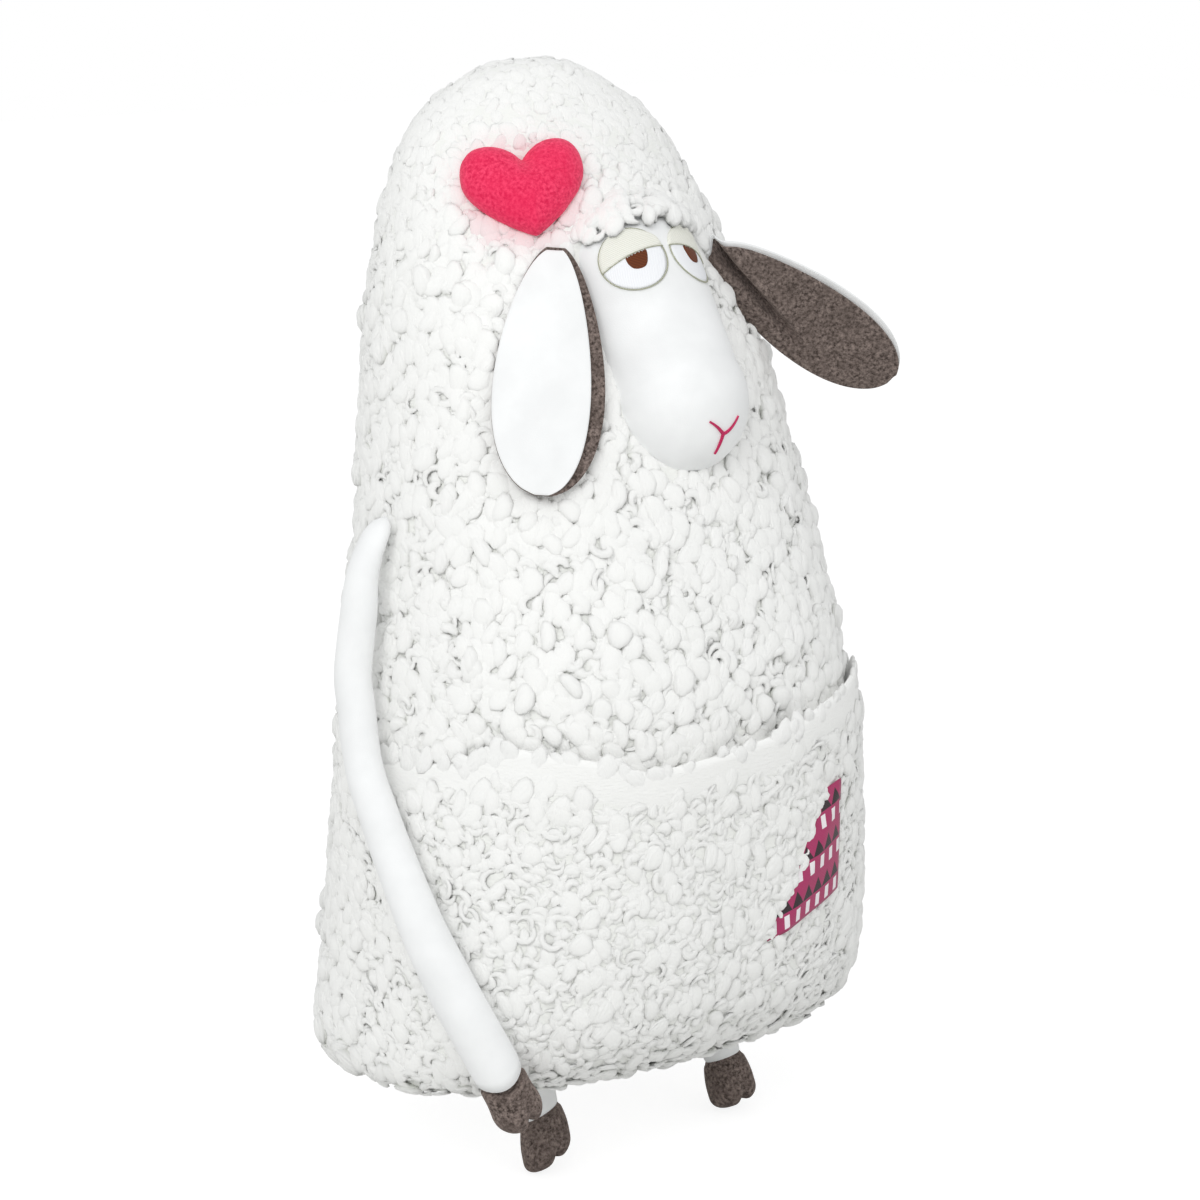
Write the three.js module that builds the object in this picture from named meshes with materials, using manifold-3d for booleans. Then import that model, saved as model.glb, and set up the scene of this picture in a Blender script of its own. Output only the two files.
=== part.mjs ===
// A plush sheep cushion: a tall stuffed dome of curly plush on a flat base, with a pouch
// across its belly, a smooth stuffed face, two flat ears, two long arms and two short legs.
// Millimetres. The sheep faces -Y, its own left is +X, and its base lies on z = 0.
import * as THREE from 'three';
import { mergeVertices } from 'three/addons/utils/BufferGeometryUtils.js';
import Module from 'manifold-3d';

const wasm = await Module();
wasm.setup();

// Body
const bodyHeight = 497;
const bodyHalfWidth = 146;
const chestReach = 112;
const backReach = 107;
const seamFootY = -4;
const seamLean = 0.085;
const coverThickness = 6;
const baseThickness = 5;

// Pouch on the belly
const pouchHeight = 172;
const pouchWave = 9;
const pouchHemHeight = 3;
const pouchThickness = 4.5;
const pouchSideThickness = 3;
const pouchMouthGap = 8;
const pouchFootGap = 0.6;
const patchWidth = 52;
const patchHeight = 60;
const patchThickness = 1;
const patchCentreX = 46;
const patchCentreZ = 104;

// Face
const foreheadHeightShare = 0.77666;
const foreheadHeight = foreheadHeightShare * bodyHeight;
const foreheadRadius = 45;
const foreheadStand = 18;
const muzzleDrop = 52;
const muzzleRadius = 36;
const muzzleStand = 31;
const faceThickness = 2.5;

// Embroidery and felt on the face
const trimThickness = 0.9;
const eyeSpacing = 39;
const eyeLift = 20;
const eyeWidth = 34;
const eyeHeight = 32;
const eyeRim = 1.4;
const lidSlope = 0.42;
const pupilRadius = 7.5;
const mouthDrop = 11;
const mouthArm = 10;
const mouthStem = 11;
const mouthThread = 1.8;

// Heart
const heartWidth = 60;
const heartTall = 50;
const heartCrown = 13;
const heartHeightShare = 0.87726;
const heartHeight = heartHeightShare * bodyHeight;
const heartSide = 50;
const heartTurn = 0.12;
const heartThickness = 1.6;

// Ears
const earLength = 126;
const earWidth = 55;
const earPanelThickness = 3.8;
const earEdgeThickness = 1.6;
const earRootHeightShare = 0.80885;
const earRootHeight = earRootHeightShare * bodyHeight;
const earRootSide = 53;
const earRootStand = 7;
const earRootOverhang = 6;

// Arms
const armRadius = 12.2;
const armRootRadius = 5.5;
const shoulderHeightShare = 0.56539;
const shoulderHeight = shoulderHeightShare * bodyHeight;
const armHoofLength = 40;

// Legs
const legRadius = 9.5;
const legLength = 33;
const legSpacing = 124;
const legRootY = -27;
const legHoofLength = 26;
const legHoofRadius = 11.5;
const rightLegSwing = 0.38;
const leftLegSwing = 0.34;

// Clearances
const seamGap = 0.3;
const restGap = 0.8;
const jointGap = 0.4;
const overrun = 40;

// How many facets the round forms have
const bodySides = 40;
const faceSides = 24;
const limbSides = 10;
const ballSides = 16;
const ballRings = 8;
const toeRings = 6;
const panelSides = 22;
const eggSteps = 7;
const heartDivisions = 7;
const edgeDivisions = 8;
const upperArmSteps = 9;
const forearmSteps = 14;
const stubSteps = 2;
const elbowSteps = 14;

// Colours
const curlyWhite = 0xf4f3ef;
const velourWhite = 0xf6f5f2;
const fibreWhite = 0xfbfbf8;
const hoofBrown = 0x6b5f59;
const heartPink = 0xe8355f;
const patchMagenta = 0xa02860;
const lidCream = 0xebece4;
const eyeWhite = 0xf4f6f8;
const pupilBrown = 0x6e3412;
const rimOlive = 0xb9b9a4;
const mouthPink = 0xd8306a;

// The body's sections, as shares of its height, half width, chest reach and back reach.
const sectionShares = [
  [0, 0.965, 0.67, 0.88],
  [0.024, 1, 0.81, 0.96],
  [0.07, 0.985, 0.93, 1],
  [0.16, 0.955, 0.99, 1],
  [0.28, 0.925, 1, 0.98],
  [0.4, 0.88, 1, 0.965],
  [0.52, 0.82, 0.86, 0.955],
  [0.64, 0.762, 0.685, 0.965],
  [0.76, 0.692, 0.47, 0.97],
  [0.86, 0.602, 0.245, 0.95],
  [0.93, 0.487, 0.06, 0.87],
  [0.97, 0.33, -0.12, 0.745],
  [0.992, 0.17, -0.25, 0.61],
];
const apexShare = -0.36;

// How round a section is at the foot and at the top: 1 is an ellipse, and less is squarer.
const footRoundShare = 0.8;
const topRoundShare = 1;

const up = new THREE.Vector3(0, 0, 1);

function solidOf(geometry) {
  const bare = geometry.clone();
  bare.deleteAttribute('normal');
  bare.deleteAttribute('uv');
  const merged = mergeVertices(bare);
  return new wasm.Manifold(new wasm.Mesh({
    numProp: 3,
    vertProperties: new Float32Array(merged.attributes.position.array),
    triVerts: new Uint32Array(merged.index.array),
  }));
}

function geometryOf(solid) {
  const mesh = solid.getMesh();
  const geometry = new THREE.BufferGeometry();
  geometry.setAttribute('position', new THREE.BufferAttribute(mesh.vertProperties, 3));
  geometry.setIndex(new THREE.BufferAttribute(mesh.triVerts, 1));
  geometry.computeVertexNormals();
  return geometry;
}

// A closed skin over rings of points that all have as many points, with a point on each end.
function skinOver(rings, firstPoint, lastPoint) {
  const sides = rings[0].length;
  const points = [firstPoint, ...rings.flat(), lastPoint];
  const last = points.length - 1;
  const index = [];
  const at = (ring, side) => 1 + ring * sides + (side % sides);
  for (let side = 0; side < sides; side += 1) {
    index.push(0, at(0, side + 1), at(0, side));
    for (let ring = 0; ring < rings.length - 1; ring += 1) {
      index.push(at(ring, side), at(ring, side + 1), at(ring + 1, side + 1));
      index.push(at(ring, side), at(ring + 1, side + 1), at(ring + 1, side));
    }
    index.push(at(rings.length - 1, side), at(rings.length - 1, side + 1), last);
  }
  const geometry = new THREE.BufferGeometry();
  geometry.setAttribute('position', new THREE.Float32BufferAttribute(points.flatMap((p) => p.toArray()), 3));
  geometry.setIndex(index);
  return geometry;
}

function box(sizeX, sizeY, sizeZ, x, y, z) {
  return solidOf(new THREE.BoxGeometry(sizeX, sizeY, sizeZ).translate(x, y, z));
}

// The body's section at a height: half width, middle line and how far it reaches either way.
function sectionAt(height) {
  const share = THREE.MathUtils.clamp(height / bodyHeight, 0, sectionShares.at(-1)[0]);
  const above = Math.max(1, sectionShares.findIndex((row) => row[0] >= share));
  const [low, high] = [sectionShares[above - 1], sectionShares[above]];
  const part = (share - low[0]) / (high[0] - low[0]);
  const [, width, front, back] = low.map((value, column) => value + part * (high[column] - value));
  const frontY = -front * chestReach;
  const backY = back * backReach;
  return {
    halfWidth: width * bodyHalfWidth,
    middleY: (frontY + backY) / 2,
    reach: (backY - frontY) / 2,
    squareness: THREE.MathUtils.lerp(2 / footRoundShare, 2 / topRoundShare, share),
  };
}

function sectionRing(section, z, growSide, growFront, growBack) {
  const ring = [];
  const power = 2 / section.squareness;
  for (let side = 0; side < bodySides; side += 1) {
    const angle = (2 * Math.PI * side) / bodySides;
    const across = Math.sign(Math.cos(angle)) * Math.abs(Math.cos(angle)) ** power;
    const along = Math.sign(Math.sin(angle)) * Math.abs(Math.sin(angle)) ** power;
    const reach = section.reach + (along < 0 ? growFront : growBack);
    ring.push(new THREE.Vector3((section.halfWidth + growSide) * across, section.middleY + reach * along, z));
  }
  return ring;
}

// The stuffed dome, grown or shrunk on every side but its base, which runs on below.
function domeSolid(grow, below) {
  const rings = sectionShares.map(([share]) => (
    sectionRing(sectionAt(share * bodyHeight), share * (bodyHeight + grow), grow, grow, grow)
  ));
  const foot = rings[0].map((point) => point.clone().setZ(-below));
  const skin = below > 0 ? [foot, ...rings] : rings;
  const apex = new THREE.Vector3(0, -apexShare * chestReach, bodyHeight + grow);
  const under = new THREE.Vector3(0, 0, -below);
  return solidOf(skinOver(skin, under, apex));
}

// Everything in front of (side -1) or behind (side 1) the side seam, which leans back.
function besideSeam(side) {
  const span = 2 * bodyHeight;
  const half = new THREE.BoxGeometry(span, span, 2 * span);
  half.translate(0, side * (span + seamGap) / 2, 0);
  half.rotateX(-Math.atan(seamLean));
  half.translate(0, seamFootY, 0);
  return solidOf(half);
}

// Where the body's front lies at a place across it.
function frontAt(x, z) {
  const section = sectionAt(z);
  const across = Math.min(Math.abs(x / section.halfWidth), 1);
  return section.middleY - section.reach * (1 - across ** section.squareness) ** (1 / section.squareness);
}

const dome = domeSolid(0, 0);
const domeClearance = domeSolid(seamGap, seamGap);

function coverPanel(side) {
  const room = domeSolid(-coverThickness, overrun);
  return dome.subtract(room).intersect(besideSeam(side));
}

function baseSlab(top) {
  return box(4 * bodyHalfWidth, 4 * bodyHalfWidth, top + overrun, 0, 0, (top - overrun) / 2);
}

function basePanel() {
  return domeSolid(-coverThickness - seamGap, 0).intersect(baseSlab(baseThickness));
}

function bodyFilling() {
  return domeSolid(-coverThickness - seamGap, 0).subtract(baseSlab(baseThickness + seamGap));
}

// The pouch hangs from the side seams and bows away from the belly towards its mouth.
function pouchWall(extraSide, extraFront) {
  const top = pouchHeight + 2 * pouchWave;
  const levels = sectionShares.map(([share]) => share * bodyHeight).filter((z) => z < top);
  const rings = [...levels, top].map((z) => {
    const stand = THREE.MathUtils.lerp(pouchFootGap, pouchMouthGap, Math.min(z / pouchHeight, 1));
    return sectionRing(sectionAt(z), z, pouchFootGap + extraSide, stand + extraFront, 0);
  });
  return solidOf(skinOver(rings, new THREE.Vector3(0, 0, 0), new THREE.Vector3(0, 0, top)));
}

// The mouth's edge, a little higher at the sheep's left, as shares of the half width and the wave.
const mouthShares = [
  [-1.2, -1], [-0.95, -0.9], [-0.78, 0.9], [-0.6, 0.3], [-0.42, -0.6],
  [-0.15, -0.2], [0.12, 0.3], [0.36, 1.2], [0.62, 1.8], [0.9, 1.2], [1.2, 0.8],
];

function belowMouth() {
  const edge = mouthShares.map(([across, rise]) => (
    new THREE.Vector2(across * bodyHalfWidth, pouchHeight + rise * pouchWave)
  ));
  const outline = new THREE.Shape();
  outline.moveTo(edge[0].x, pouchHemHeight);
  outline.lineTo(edge[0].x, edge[0].y);
  outline.splineThru(edge.slice(1));
  outline.lineTo(edge.at(-1).x, pouchHemHeight);
  outline.closePath();
  const depth = 4 * chestReach;
  const prism = new THREE.ExtrudeGeometry(outline, { depth, bevelEnabled: false, curveSegments: edgeDivisions * 2 });
  return solidOf(prism.rotateX(Math.PI / 2).translate(0, depth / 2, 0));
}

// One half of the pouch's panel, which meets the other in the middle of the belly.
function pouchPanel(side) {
  const span = 4 * bodyHalfWidth;
  const half = box(span, span, span, side * (span + seamGap) / 2, 0, 0);
  const panel = pouchWall(pouchSideThickness, pouchThickness).subtract(pouchWall(0, 0));
  return panel.intersect(besideSeam(-1)).intersect(belowMouth()).intersect(half);
}

// A printed patch of ribbon cloth that follows the pouch, sewn on near its left end.
function patchPanel() {
  const skin = pouchWall(pouchSideThickness + seamGap + patchThickness, pouchThickness + seamGap + patchThickness);
  const under = pouchWall(pouchSideThickness + seamGap, pouchThickness + seamGap);
  const window = box(patchWidth, 2 * chestReach, patchHeight, patchCentreX, -chestReach, patchCentreZ);
  return skin.subtract(under).intersect(window);
}

// The face is an egg over two balls, the forehead and the smaller muzzle, lower and further out.
const muzzleHeight = foreheadHeight - muzzleDrop;
const forehead = new THREE.Vector3(
  0, frontAt(0, foreheadHeight) - foreheadStand + foreheadRadius, foreheadHeight,
);
const muzzle = new THREE.Vector3(
  0, frontAt(0, muzzleHeight) - muzzleStand + muzzleRadius, muzzleHeight,
);

function eggSolid(grow) {
  const span = forehead.distanceTo(muzzle);
  const lean = Math.asin((foreheadRadius - muzzleRadius) / span);
  const profile = [];
  for (let step = 0; step <= eggSteps; step += 1) {
    const angle = THREE.MathUtils.lerp(Math.PI / 2, lean, step / eggSteps);
    const radius = foreheadRadius + grow;
    profile.push(new THREE.Vector2(radius * Math.cos(angle), radius * Math.sin(angle)));
  }
  for (let step = 0; step <= eggSteps; step += 1) {
    const angle = THREE.MathUtils.lerp(lean, -Math.PI / 2, step / eggSteps);
    const radius = muzzleRadius + grow;
    profile.push(new THREE.Vector2(radius * Math.cos(angle), radius * Math.sin(angle) - span));
  }
  profile[0].x = 0;
  profile.at(-1).x = 0;
  const egg = new THREE.LatheGeometry(profile.reverse(), faceSides);
  const axis = forehead.clone().sub(muzzle).normalize();
  egg.applyQuaternion(new THREE.Quaternion().setFromUnitVectors(new THREE.Vector3(0, 1, 0), axis));
  egg.translate(forehead.x, forehead.y, forehead.z);
  return solidOf(egg);
}

const faceClearance = eggSolid(seamGap);

function faceCover() {
  return eggSolid(0).subtract(eggSolid(-faceThickness)).subtract(domeClearance);
}

function faceFilling() {
  return eggSolid(-faceThickness - seamGap).subtract(domeClearance);
}

// A frame that looks along a direction, with its second axis as near upright as it can be.
function frameAt(place, outward, turn) {
  const across = new THREE.Vector3().crossVectors(up, outward).normalize();
  const rise = new THREE.Vector3().crossVectors(outward, across).normalize();
  const frame = new THREE.Matrix4().makeBasis(across, rise, outward.clone().normalize());
  frame.multiply(new THREE.Matrix4().makeRotationZ(turn));
  return new THREE.Matrix4().makeTranslation(place).multiply(frame);
}

const trimSkin = eggSolid(seamGap + trimThickness).subtract(faceClearance);

// A flat outline drawn out along a frame's outward direction, through the face's skin.
function cutterOf(outline, frame) {
  const depth = 2 * foreheadRadius;
  const prism = new THREE.ExtrudeGeometry(outline, { depth, bevelEnabled: false, curveSegments: edgeDivisions });
  return solidOf(prism.applyMatrix4(frame));
}

function ellipse(width, height) {
  const outline = new THREE.Shape();
  outline.absellipse(0, 0, width / 2, height / 2, 0, 2 * Math.PI);
  return outline;
}

// Below (side -1) or above (side 1) the edge of the drooping lid, which falls to the outer corner.
function besideLid(eyeSide, side) {
  const fall = eyeSide * lidSlope * eyeWidth / 2;
  const edge = seamGap / 2 * side;
  const outline = new THREE.Shape();
  outline.moveTo(-eyeWidth / 2, fall + edge);
  outline.lineTo(eyeWidth / 2, edge - fall);
  outline.lineTo(eyeWidth / 2, side * eyeHeight);
  outline.lineTo(-eyeWidth / 2, side * eyeHeight);
  outline.closePath();
  return outline;
}

const pupilInwardShare = 0.03;

function eyeParts(eyeSide) {
  const outward = new THREE.Vector3(
    eyeSide * eyeSpacing / 2, -Math.sqrt(foreheadRadius ** 2 - (eyeSpacing / 2) ** 2 - eyeLift ** 2), eyeLift,
  );
  const frame = frameAt(forehead, outward, 0);
  const cut = (outline) => cutterOf(outline, frame);
  const inner = cut(ellipse(eyeWidth - 2 * eyeRim, eyeHeight - 2 * eyeRim));
  const room = cut(ellipse(eyeWidth - 2 * eyeRim + 2 * seamGap, eyeHeight - 2 * eyeRim + 2 * seamGap));
  const pupilX = -eyeSide * eyeWidth * pupilInwardShare;
  const pupilY = -pupilX * lidSlope * eyeSide;
  const pupilOf = (radius) => cut(new THREE.Shape().absarc(pupilX, pupilY, radius, 0, 2 * Math.PI));
  const below = cut(besideLid(eyeSide, -1));
  const above = cut(besideLid(eyeSide, 1));
  return {
    outline: cut(ellipse(eyeWidth, eyeHeight)).subtract(room).intersect(trimSkin),
    lid: inner.intersect(above).intersect(trimSkin),
    white: inner.intersect(below).subtract(pupilOf(pupilRadius + seamGap)).intersect(trimSkin),
    pupil: pupilOf(pupilRadius).intersect(below).intersect(trimSkin),
  };
}

// A bar of thread from one point to another, in the frame's plane.
function threadBar(fromX, fromY, toX, toY) {
  const along = new THREE.Vector2(toX - fromX, toY - fromY).normalize();
  const side = new THREE.Vector2(-along.y, along.x).multiplyScalar(mouthThread / 2);
  const outline = new THREE.Shape();
  outline.moveTo(fromX - side.x, fromY - side.y);
  outline.lineTo(toX - side.x, toY - side.y);
  outline.lineTo(toX + side.x, toY + side.y);
  outline.lineTo(fromX + side.x, fromY + side.y);
  outline.closePath();
  return outline;
}

const mouthArmAngle = 0.6;

function mouthStitch() {
  const outward = new THREE.Vector3(0, -Math.sqrt(muzzleRadius ** 2 - mouthDrop ** 2), -mouthDrop);
  const frame = frameAt(muzzle, outward, 0);
  const overlap = mouthThread / 2;
  const armX = mouthArm * Math.cos(mouthArmAngle);
  const armY = mouthArm * Math.sin(mouthArmAngle);
  return cutterOf(threadBar(overlap, -overlap, -armX, armY), frame)
    .add(cutterOf(threadBar(-overlap, -overlap, armX, armY), frame))
    .add(cutterOf(threadBar(0, 0, 0, -mouthStem), frame))
    .intersect(trimSkin);
}

const crownShares = [1, 0.93, 0.75, 0.4];

// A crowned form over an outline: rings that shrink to its middle and rise to the crown.
function crownedForm(outline, edge, crown, below, divisions) {
  const points = outline.getPoints(divisions);
  if (points[0].distanceTo(points.at(-1)) < seamGap) points.pop();
  if (THREE.ShapeUtils.isClockWise(points)) points.reverse();
  const middle = points.reduce((sum, p) => sum.add(p), new THREE.Vector2()).divideScalar(points.length);
  const ringAt = (share, z) => points.map((p) => {
    const flat = middle.clone().lerp(p, share);
    return new THREE.Vector3(flat.x, flat.y, z);
  });
  const rings = [ringAt(1, -below)];
  for (const share of crownShares) {
    rings.push(ringAt(share, edge + (crown - edge) * Math.sqrt(1 - share ** 2)));
  }
  const foot = new THREE.Vector3(middle.x, middle.y, -below);
  return skinOver(rings, foot, new THREE.Vector3(middle.x, middle.y, crown));
}

// The heart's two curves on one side, from its notch round the lobe and down to its soft point:
// shares of its half width and its height.
const notchShare = 0.3;
const lobeShares = [[0.3, 0.56], [1, 0.62], [1, 0.16]];
const pointShares = [[1, -0.12], [0.36, -0.4], [0, -0.5]];

function heartOutline(width, tall) {
  const placed = (shares, side) => shares.flatMap(([across, rise]) => [side * across * width / 2, rise * tall]);
  const back = (shares, end) => [shares[1], shares[0], end];
  const outline = new THREE.Shape();
  outline.moveTo(0, notchShare * tall);
  outline.bezierCurveTo(...placed(lobeShares, 1));
  outline.bezierCurveTo(...placed(pointShares, 1));
  outline.bezierCurveTo(...placed(back(pointShares, lobeShares[2]), -1));
  outline.bezierCurveTo(...placed(back(lobeShares, [0, notchShare]), -1));
  return outline;
}

const heartFacing = new THREE.Vector3(-0.42, -0.76, 0.49);

// A puffed heart, drawn in on every side, that runs on into the dome behind it.
function heartForm(inset) {
  const spot = new THREE.Vector3(-heartSide, frontAt(heartSide, heartHeight), heartHeight);
  const outline = heartOutline(heartWidth - 2 * inset, heartTall - 2 * inset);
  const form = crownedForm(outline, heartThickness, heartCrown - inset, heartCrown, heartDivisions);
  return solidOf(form.applyMatrix4(frameAt(spot, heartFacing.clone().normalize(), heartTurn)));
}

const earRootShare = 0.72;
const earTipShare = 1.2;
const rightEarPointing = new THREE.Vector3(-0.3, -0.28, -0.91);
const rightEarFacing = new THREE.Vector3(-0.6, -0.8, 0);
const leftEarPointing = new THREE.Vector3(0.76, -0.3, -0.58);
const leftEarFacing = new THREE.Vector3(0.46, 0.72, 0.44);

// An ear's outline runs from its narrow root at the frame's origin down along -Y.
function earOutline() {
  const points = [];
  for (let step = 0; step < panelSides; step += 1) {
    const angle = (2 * Math.PI * step) / panelSides;
    const down = (1 - Math.cos(angle)) / 2;
    const width = (earWidth / 2) * Math.sin(angle) * (earRootShare + (earTipShare - earRootShare) * down);
    points.push(new THREE.Vector2(width, -down * earLength + earRootOverhang));
  }
  return new THREE.Shape(points);
}

// Both panels of one ear: side 1 is the outer face, -1 the inner.
function earPanel(frame, side) {
  const form = crownedForm(earOutline(), earEdgeThickness, earPanelThickness, -seamGap / 2, panelSides);
  if (side < 0) form.applyMatrix4(new THREE.Matrix4().makeRotationY(Math.PI));
  return solidOf(form.applyMatrix4(frame)).subtract(eggSolid(restGap)).subtract(domeSolid(restGap, 0));
}

// The ear's frame: its root, the way it points and the way its outer face looks.
function earFrame(side, pointing, facing) {
  const root = new THREE.Vector3(
    side * earRootSide, frontAt(earRootSide, earRootHeight) - earRootStand, earRootHeight,
  );
  const rise = pointing.clone().normalize().negate();
  const outward = facing.clone().addScaledVector(rise, -facing.dot(rise)).normalize();
  const across = new THREE.Vector3().crossVectors(rise, outward);
  const frame = new THREE.Matrix4().makeBasis(across, rise, outward);
  return new THREE.Matrix4().makeTranslation(root).multiply(frame);
}

const rightEarFrame = earFrame(-1, rightEarPointing, rightEarFacing);
const leftEarFrame = earFrame(1, leftEarPointing, leftEarFacing);

// A limb: rings across a curve, with a radius that follows how far along it they lie.
function limbSkin(curve, fromShare, toShare, radiusAt, steps) {
  const rings = [];
  let normal = curve.computeFrenetFrames(steps, false).normals[0].clone();
  for (let step = 0; step <= steps; step += 1) {
    const share = THREE.MathUtils.lerp(fromShare, toShare, step / steps);
    const tangent = curve.getTangentAt(share);
    normal = normal.addScaledVector(tangent, -normal.dot(tangent)).normalize();
    const binormal = new THREE.Vector3().crossVectors(tangent, normal);
    const centre = curve.getPointAt(share);
    const radius = radiusAt(share);
    const ring = [];
    for (let side = 0; side < limbSides; side += 1) {
      const angle = (2 * Math.PI * side) / limbSides;
      const point = centre.clone().addScaledVector(normal, radius * Math.cos(angle));
      ring.push(point.addScaledVector(binormal, radius * Math.sin(angle)));
    }
    rings.push(ring);
  }
  return skinOver(rings, curve.getPointAt(fromShare), curve.getPointAt(toShare));
}

// A ball with its poles up and down, so that its top and its sides lie at its full radius.
function ball(radius, centre) {
  const round = new THREE.SphereGeometry(radius, ballSides, ballRings).rotateX(Math.PI / 2);
  return solidOf(round.translate(centre.x, centre.y, centre.z));
}

// The arms' paths from shoulder to hoof: shares of the body's height and chest reach, and how
// many arm radii they stand off its widest flank. The right arm comes forward over the pouch.
const rightArmShares = [
  [0.565, -0.09, 0], [0.527, -0.07, 0.35], [0.468, -0.06, 0.5], [0.41, -0.045, 0.55], [0.372, 0.01, 0.5],
  [0.335, 0.09, 0.4], [0.288, 0.22, 0.3], [0.24, 0.35, 0.1], [0.19, 0.49, -0.15], [0.141, 0.61, -0.6],
  [0.1, 0.69, -1.15], [0.062, 0.745, -1.8], [0.028, 0.765, -2.5], [-0.02, 0.75, -3.4],
];
// The left arm hangs straight down along the flank.
const leftArmShares = [
  [0.565, -0.09, 0], [0.52, -0.1, 0.25], [0.456, -0.11, 0.35], [0.39, -0.115, 0.3], [0.328, -0.11, 0.25],
  [0.262, -0.1, 0.2], [0.2, -0.09, 0.2], [0.142, -0.08, 0.2], [0.09, -0.075, 0.2], [0.045, -0.075, 0.2],
  [-0.02, -0.08, 0.15],
];
const elbowShare = 0.375;
const forearmShare = 0.395;
const wristShare = 0.885;
const elbowOpenAngle = -0.3;
const elbowBendAngle = 1.8;

function armCurve(side) {
  const pathShares = side < 0 ? rightArmShares : leftArmShares;
  const points = pathShares.map(([rise, forward, bow], index) => {
    const z = index === 0 ? shoulderHeight : rise * bodyHeight;
    const clearance = index === 0 ? armRootRadius + jointGap : armRadius + restGap;
    const pouch = z < pouchHeight + pouchWave ? pouchSideThickness + pouchFootGap : 0;
    const x = sectionAt(z).halfWidth + pouch + clearance + bow * armRadius;
    return new THREE.Vector3(side * x, -forward * chestReach, z);
  });
  return new THREE.CatmullRomCurve3(points, false, 'centripetal');
}

const armTaperShare = 0.2;

function armRadiusAt(share) {
  const swell = Math.min(share / armTaperShare, 1);
  return THREE.MathUtils.lerp(armRootRadius, armRadius, Math.sin(swell * Math.PI / 2));
}

function turnedAbout(solid, pivot, angle) {
  const matrix = new THREE.Matrix4().makeTranslation(pivot)
    .multiply(new THREE.Matrix4().makeRotationX(angle))
    .multiply(new THREE.Matrix4().makeTranslation(pivot.clone().negate()));
  return solid.transform(matrix.elements);
}

function armParts(side) {
  const curve = armCurve(side);
  const elbow = curve.getPointAt(elbowShare);
  const knuckle = armRadiusAt(elbowShare);
  const upper = solidOf(limbSkin(curve, 0, elbowShare, armRadiusAt, upperArmSteps))
    .add(ball(knuckle, elbow)).add(ball(armRootRadius, curve.getPointAt(0)));
  const roomRadiusAt = (share) => armRadiusAt(share) + restGap;
  const room = solidOf(limbSkin(curve, 0, elbowShare, roomRadiusAt, upperArmSteps));
  let lower = solidOf(limbSkin(curve, forearmShare, wristShare, armRadiusAt, forearmSteps));
  for (let step = 0; step <= elbowSteps; step += 1) {
    const bend = THREE.MathUtils.lerp(elbowOpenAngle, elbowBendAngle, step / elbowSteps);
    lower = lower.subtract(turnedAbout(room, elbow, bend));
  }
  const cupRadius = (knuckle + jointGap) / Math.cos(Math.PI / ballSides);
  lower = lower.subtract(ball(cupRadius, elbow));
  const wrist = curve.getPointAt(wristShare);
  const heading = curve.getTangentAt(1);
  const start = wrist.clone().addScaledVector(heading, seamGap * 2);
  const hoof = hoofSolid(start, heading, new THREE.Vector3(side, 0, 0), armRadius, armRadius, armHoofLength);
  return { upper, lower, hoof: hoof.subtract(lower.add(upper)) };
}

const collarShare = 0.86;
const toeWidthShare = 0.66;
const toeLengthShare = 0.86;
const toeSpreadShare = 0.5;

// A cloven hoof: a short sleeve end that swells into two round toes side by side.
function hoofSolid(start, heading, across, sleeveRadius, hoofRadius, length) {
  const end = start.clone().addScaledVector(heading, length - hoofRadius * toeLengthShare);
  const collarCurve = new THREE.LineCurve3(start, end);
  const collarRadius = (share) => THREE.MathUtils.lerp(sleeveRadius, hoofRadius * collarShare, share);
  let hoof = solidOf(limbSkin(collarCurve, 0, 1, collarRadius, stubSteps));
  for (const side of [-1, 1]) {
    const toe = new THREE.SphereGeometry(hoofRadius, limbSides, toeRings);
    toe.scale(toeWidthShare, toeWidthShare, toeLengthShare);
    toe.applyQuaternion(new THREE.Quaternion().setFromUnitVectors(up, heading));
    const centre = end.clone().addScaledVector(across, side * hoofRadius * toeSpreadShare);
    hoof = hoof.add(solidOf(toe.translate(centre.x, centre.y, centre.z)));
  }
  return hoof;
}

function legParts(side, swing) {
  const heading = new THREE.Vector3(0, -Math.sin(swing), -Math.cos(swing));
  const hip = new THREE.Vector3(side * legSpacing / 2, legRootY, -legRadius - jointGap);
  const ankle = hip.clone().addScaledVector(heading, legLength - legRadius);
  const line = new THREE.LineCurve3(hip, ankle);
  const stub = solidOf(limbSkin(line, 0, 1, () => legRadius, stubSteps)).add(ball(legRadius, hip));
  const start = ankle.clone().addScaledVector(heading, seamGap);
  const hoof = hoofSolid(start, heading, new THREE.Vector3(1, 0, 0), legRadius, legHoofRadius, legHoofLength);
  return { stub, hoof };
}

const sheep = new THREE.Group();

function addPiece(name, solid, color, roughness) {
  const material = new THREE.MeshStandardMaterial({ color, roughness, metalness: 0 });
  const mesh = new THREE.Mesh(geometryOf(solid), material);
  mesh.name = name;
  sheep.add(mesh);
}

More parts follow.
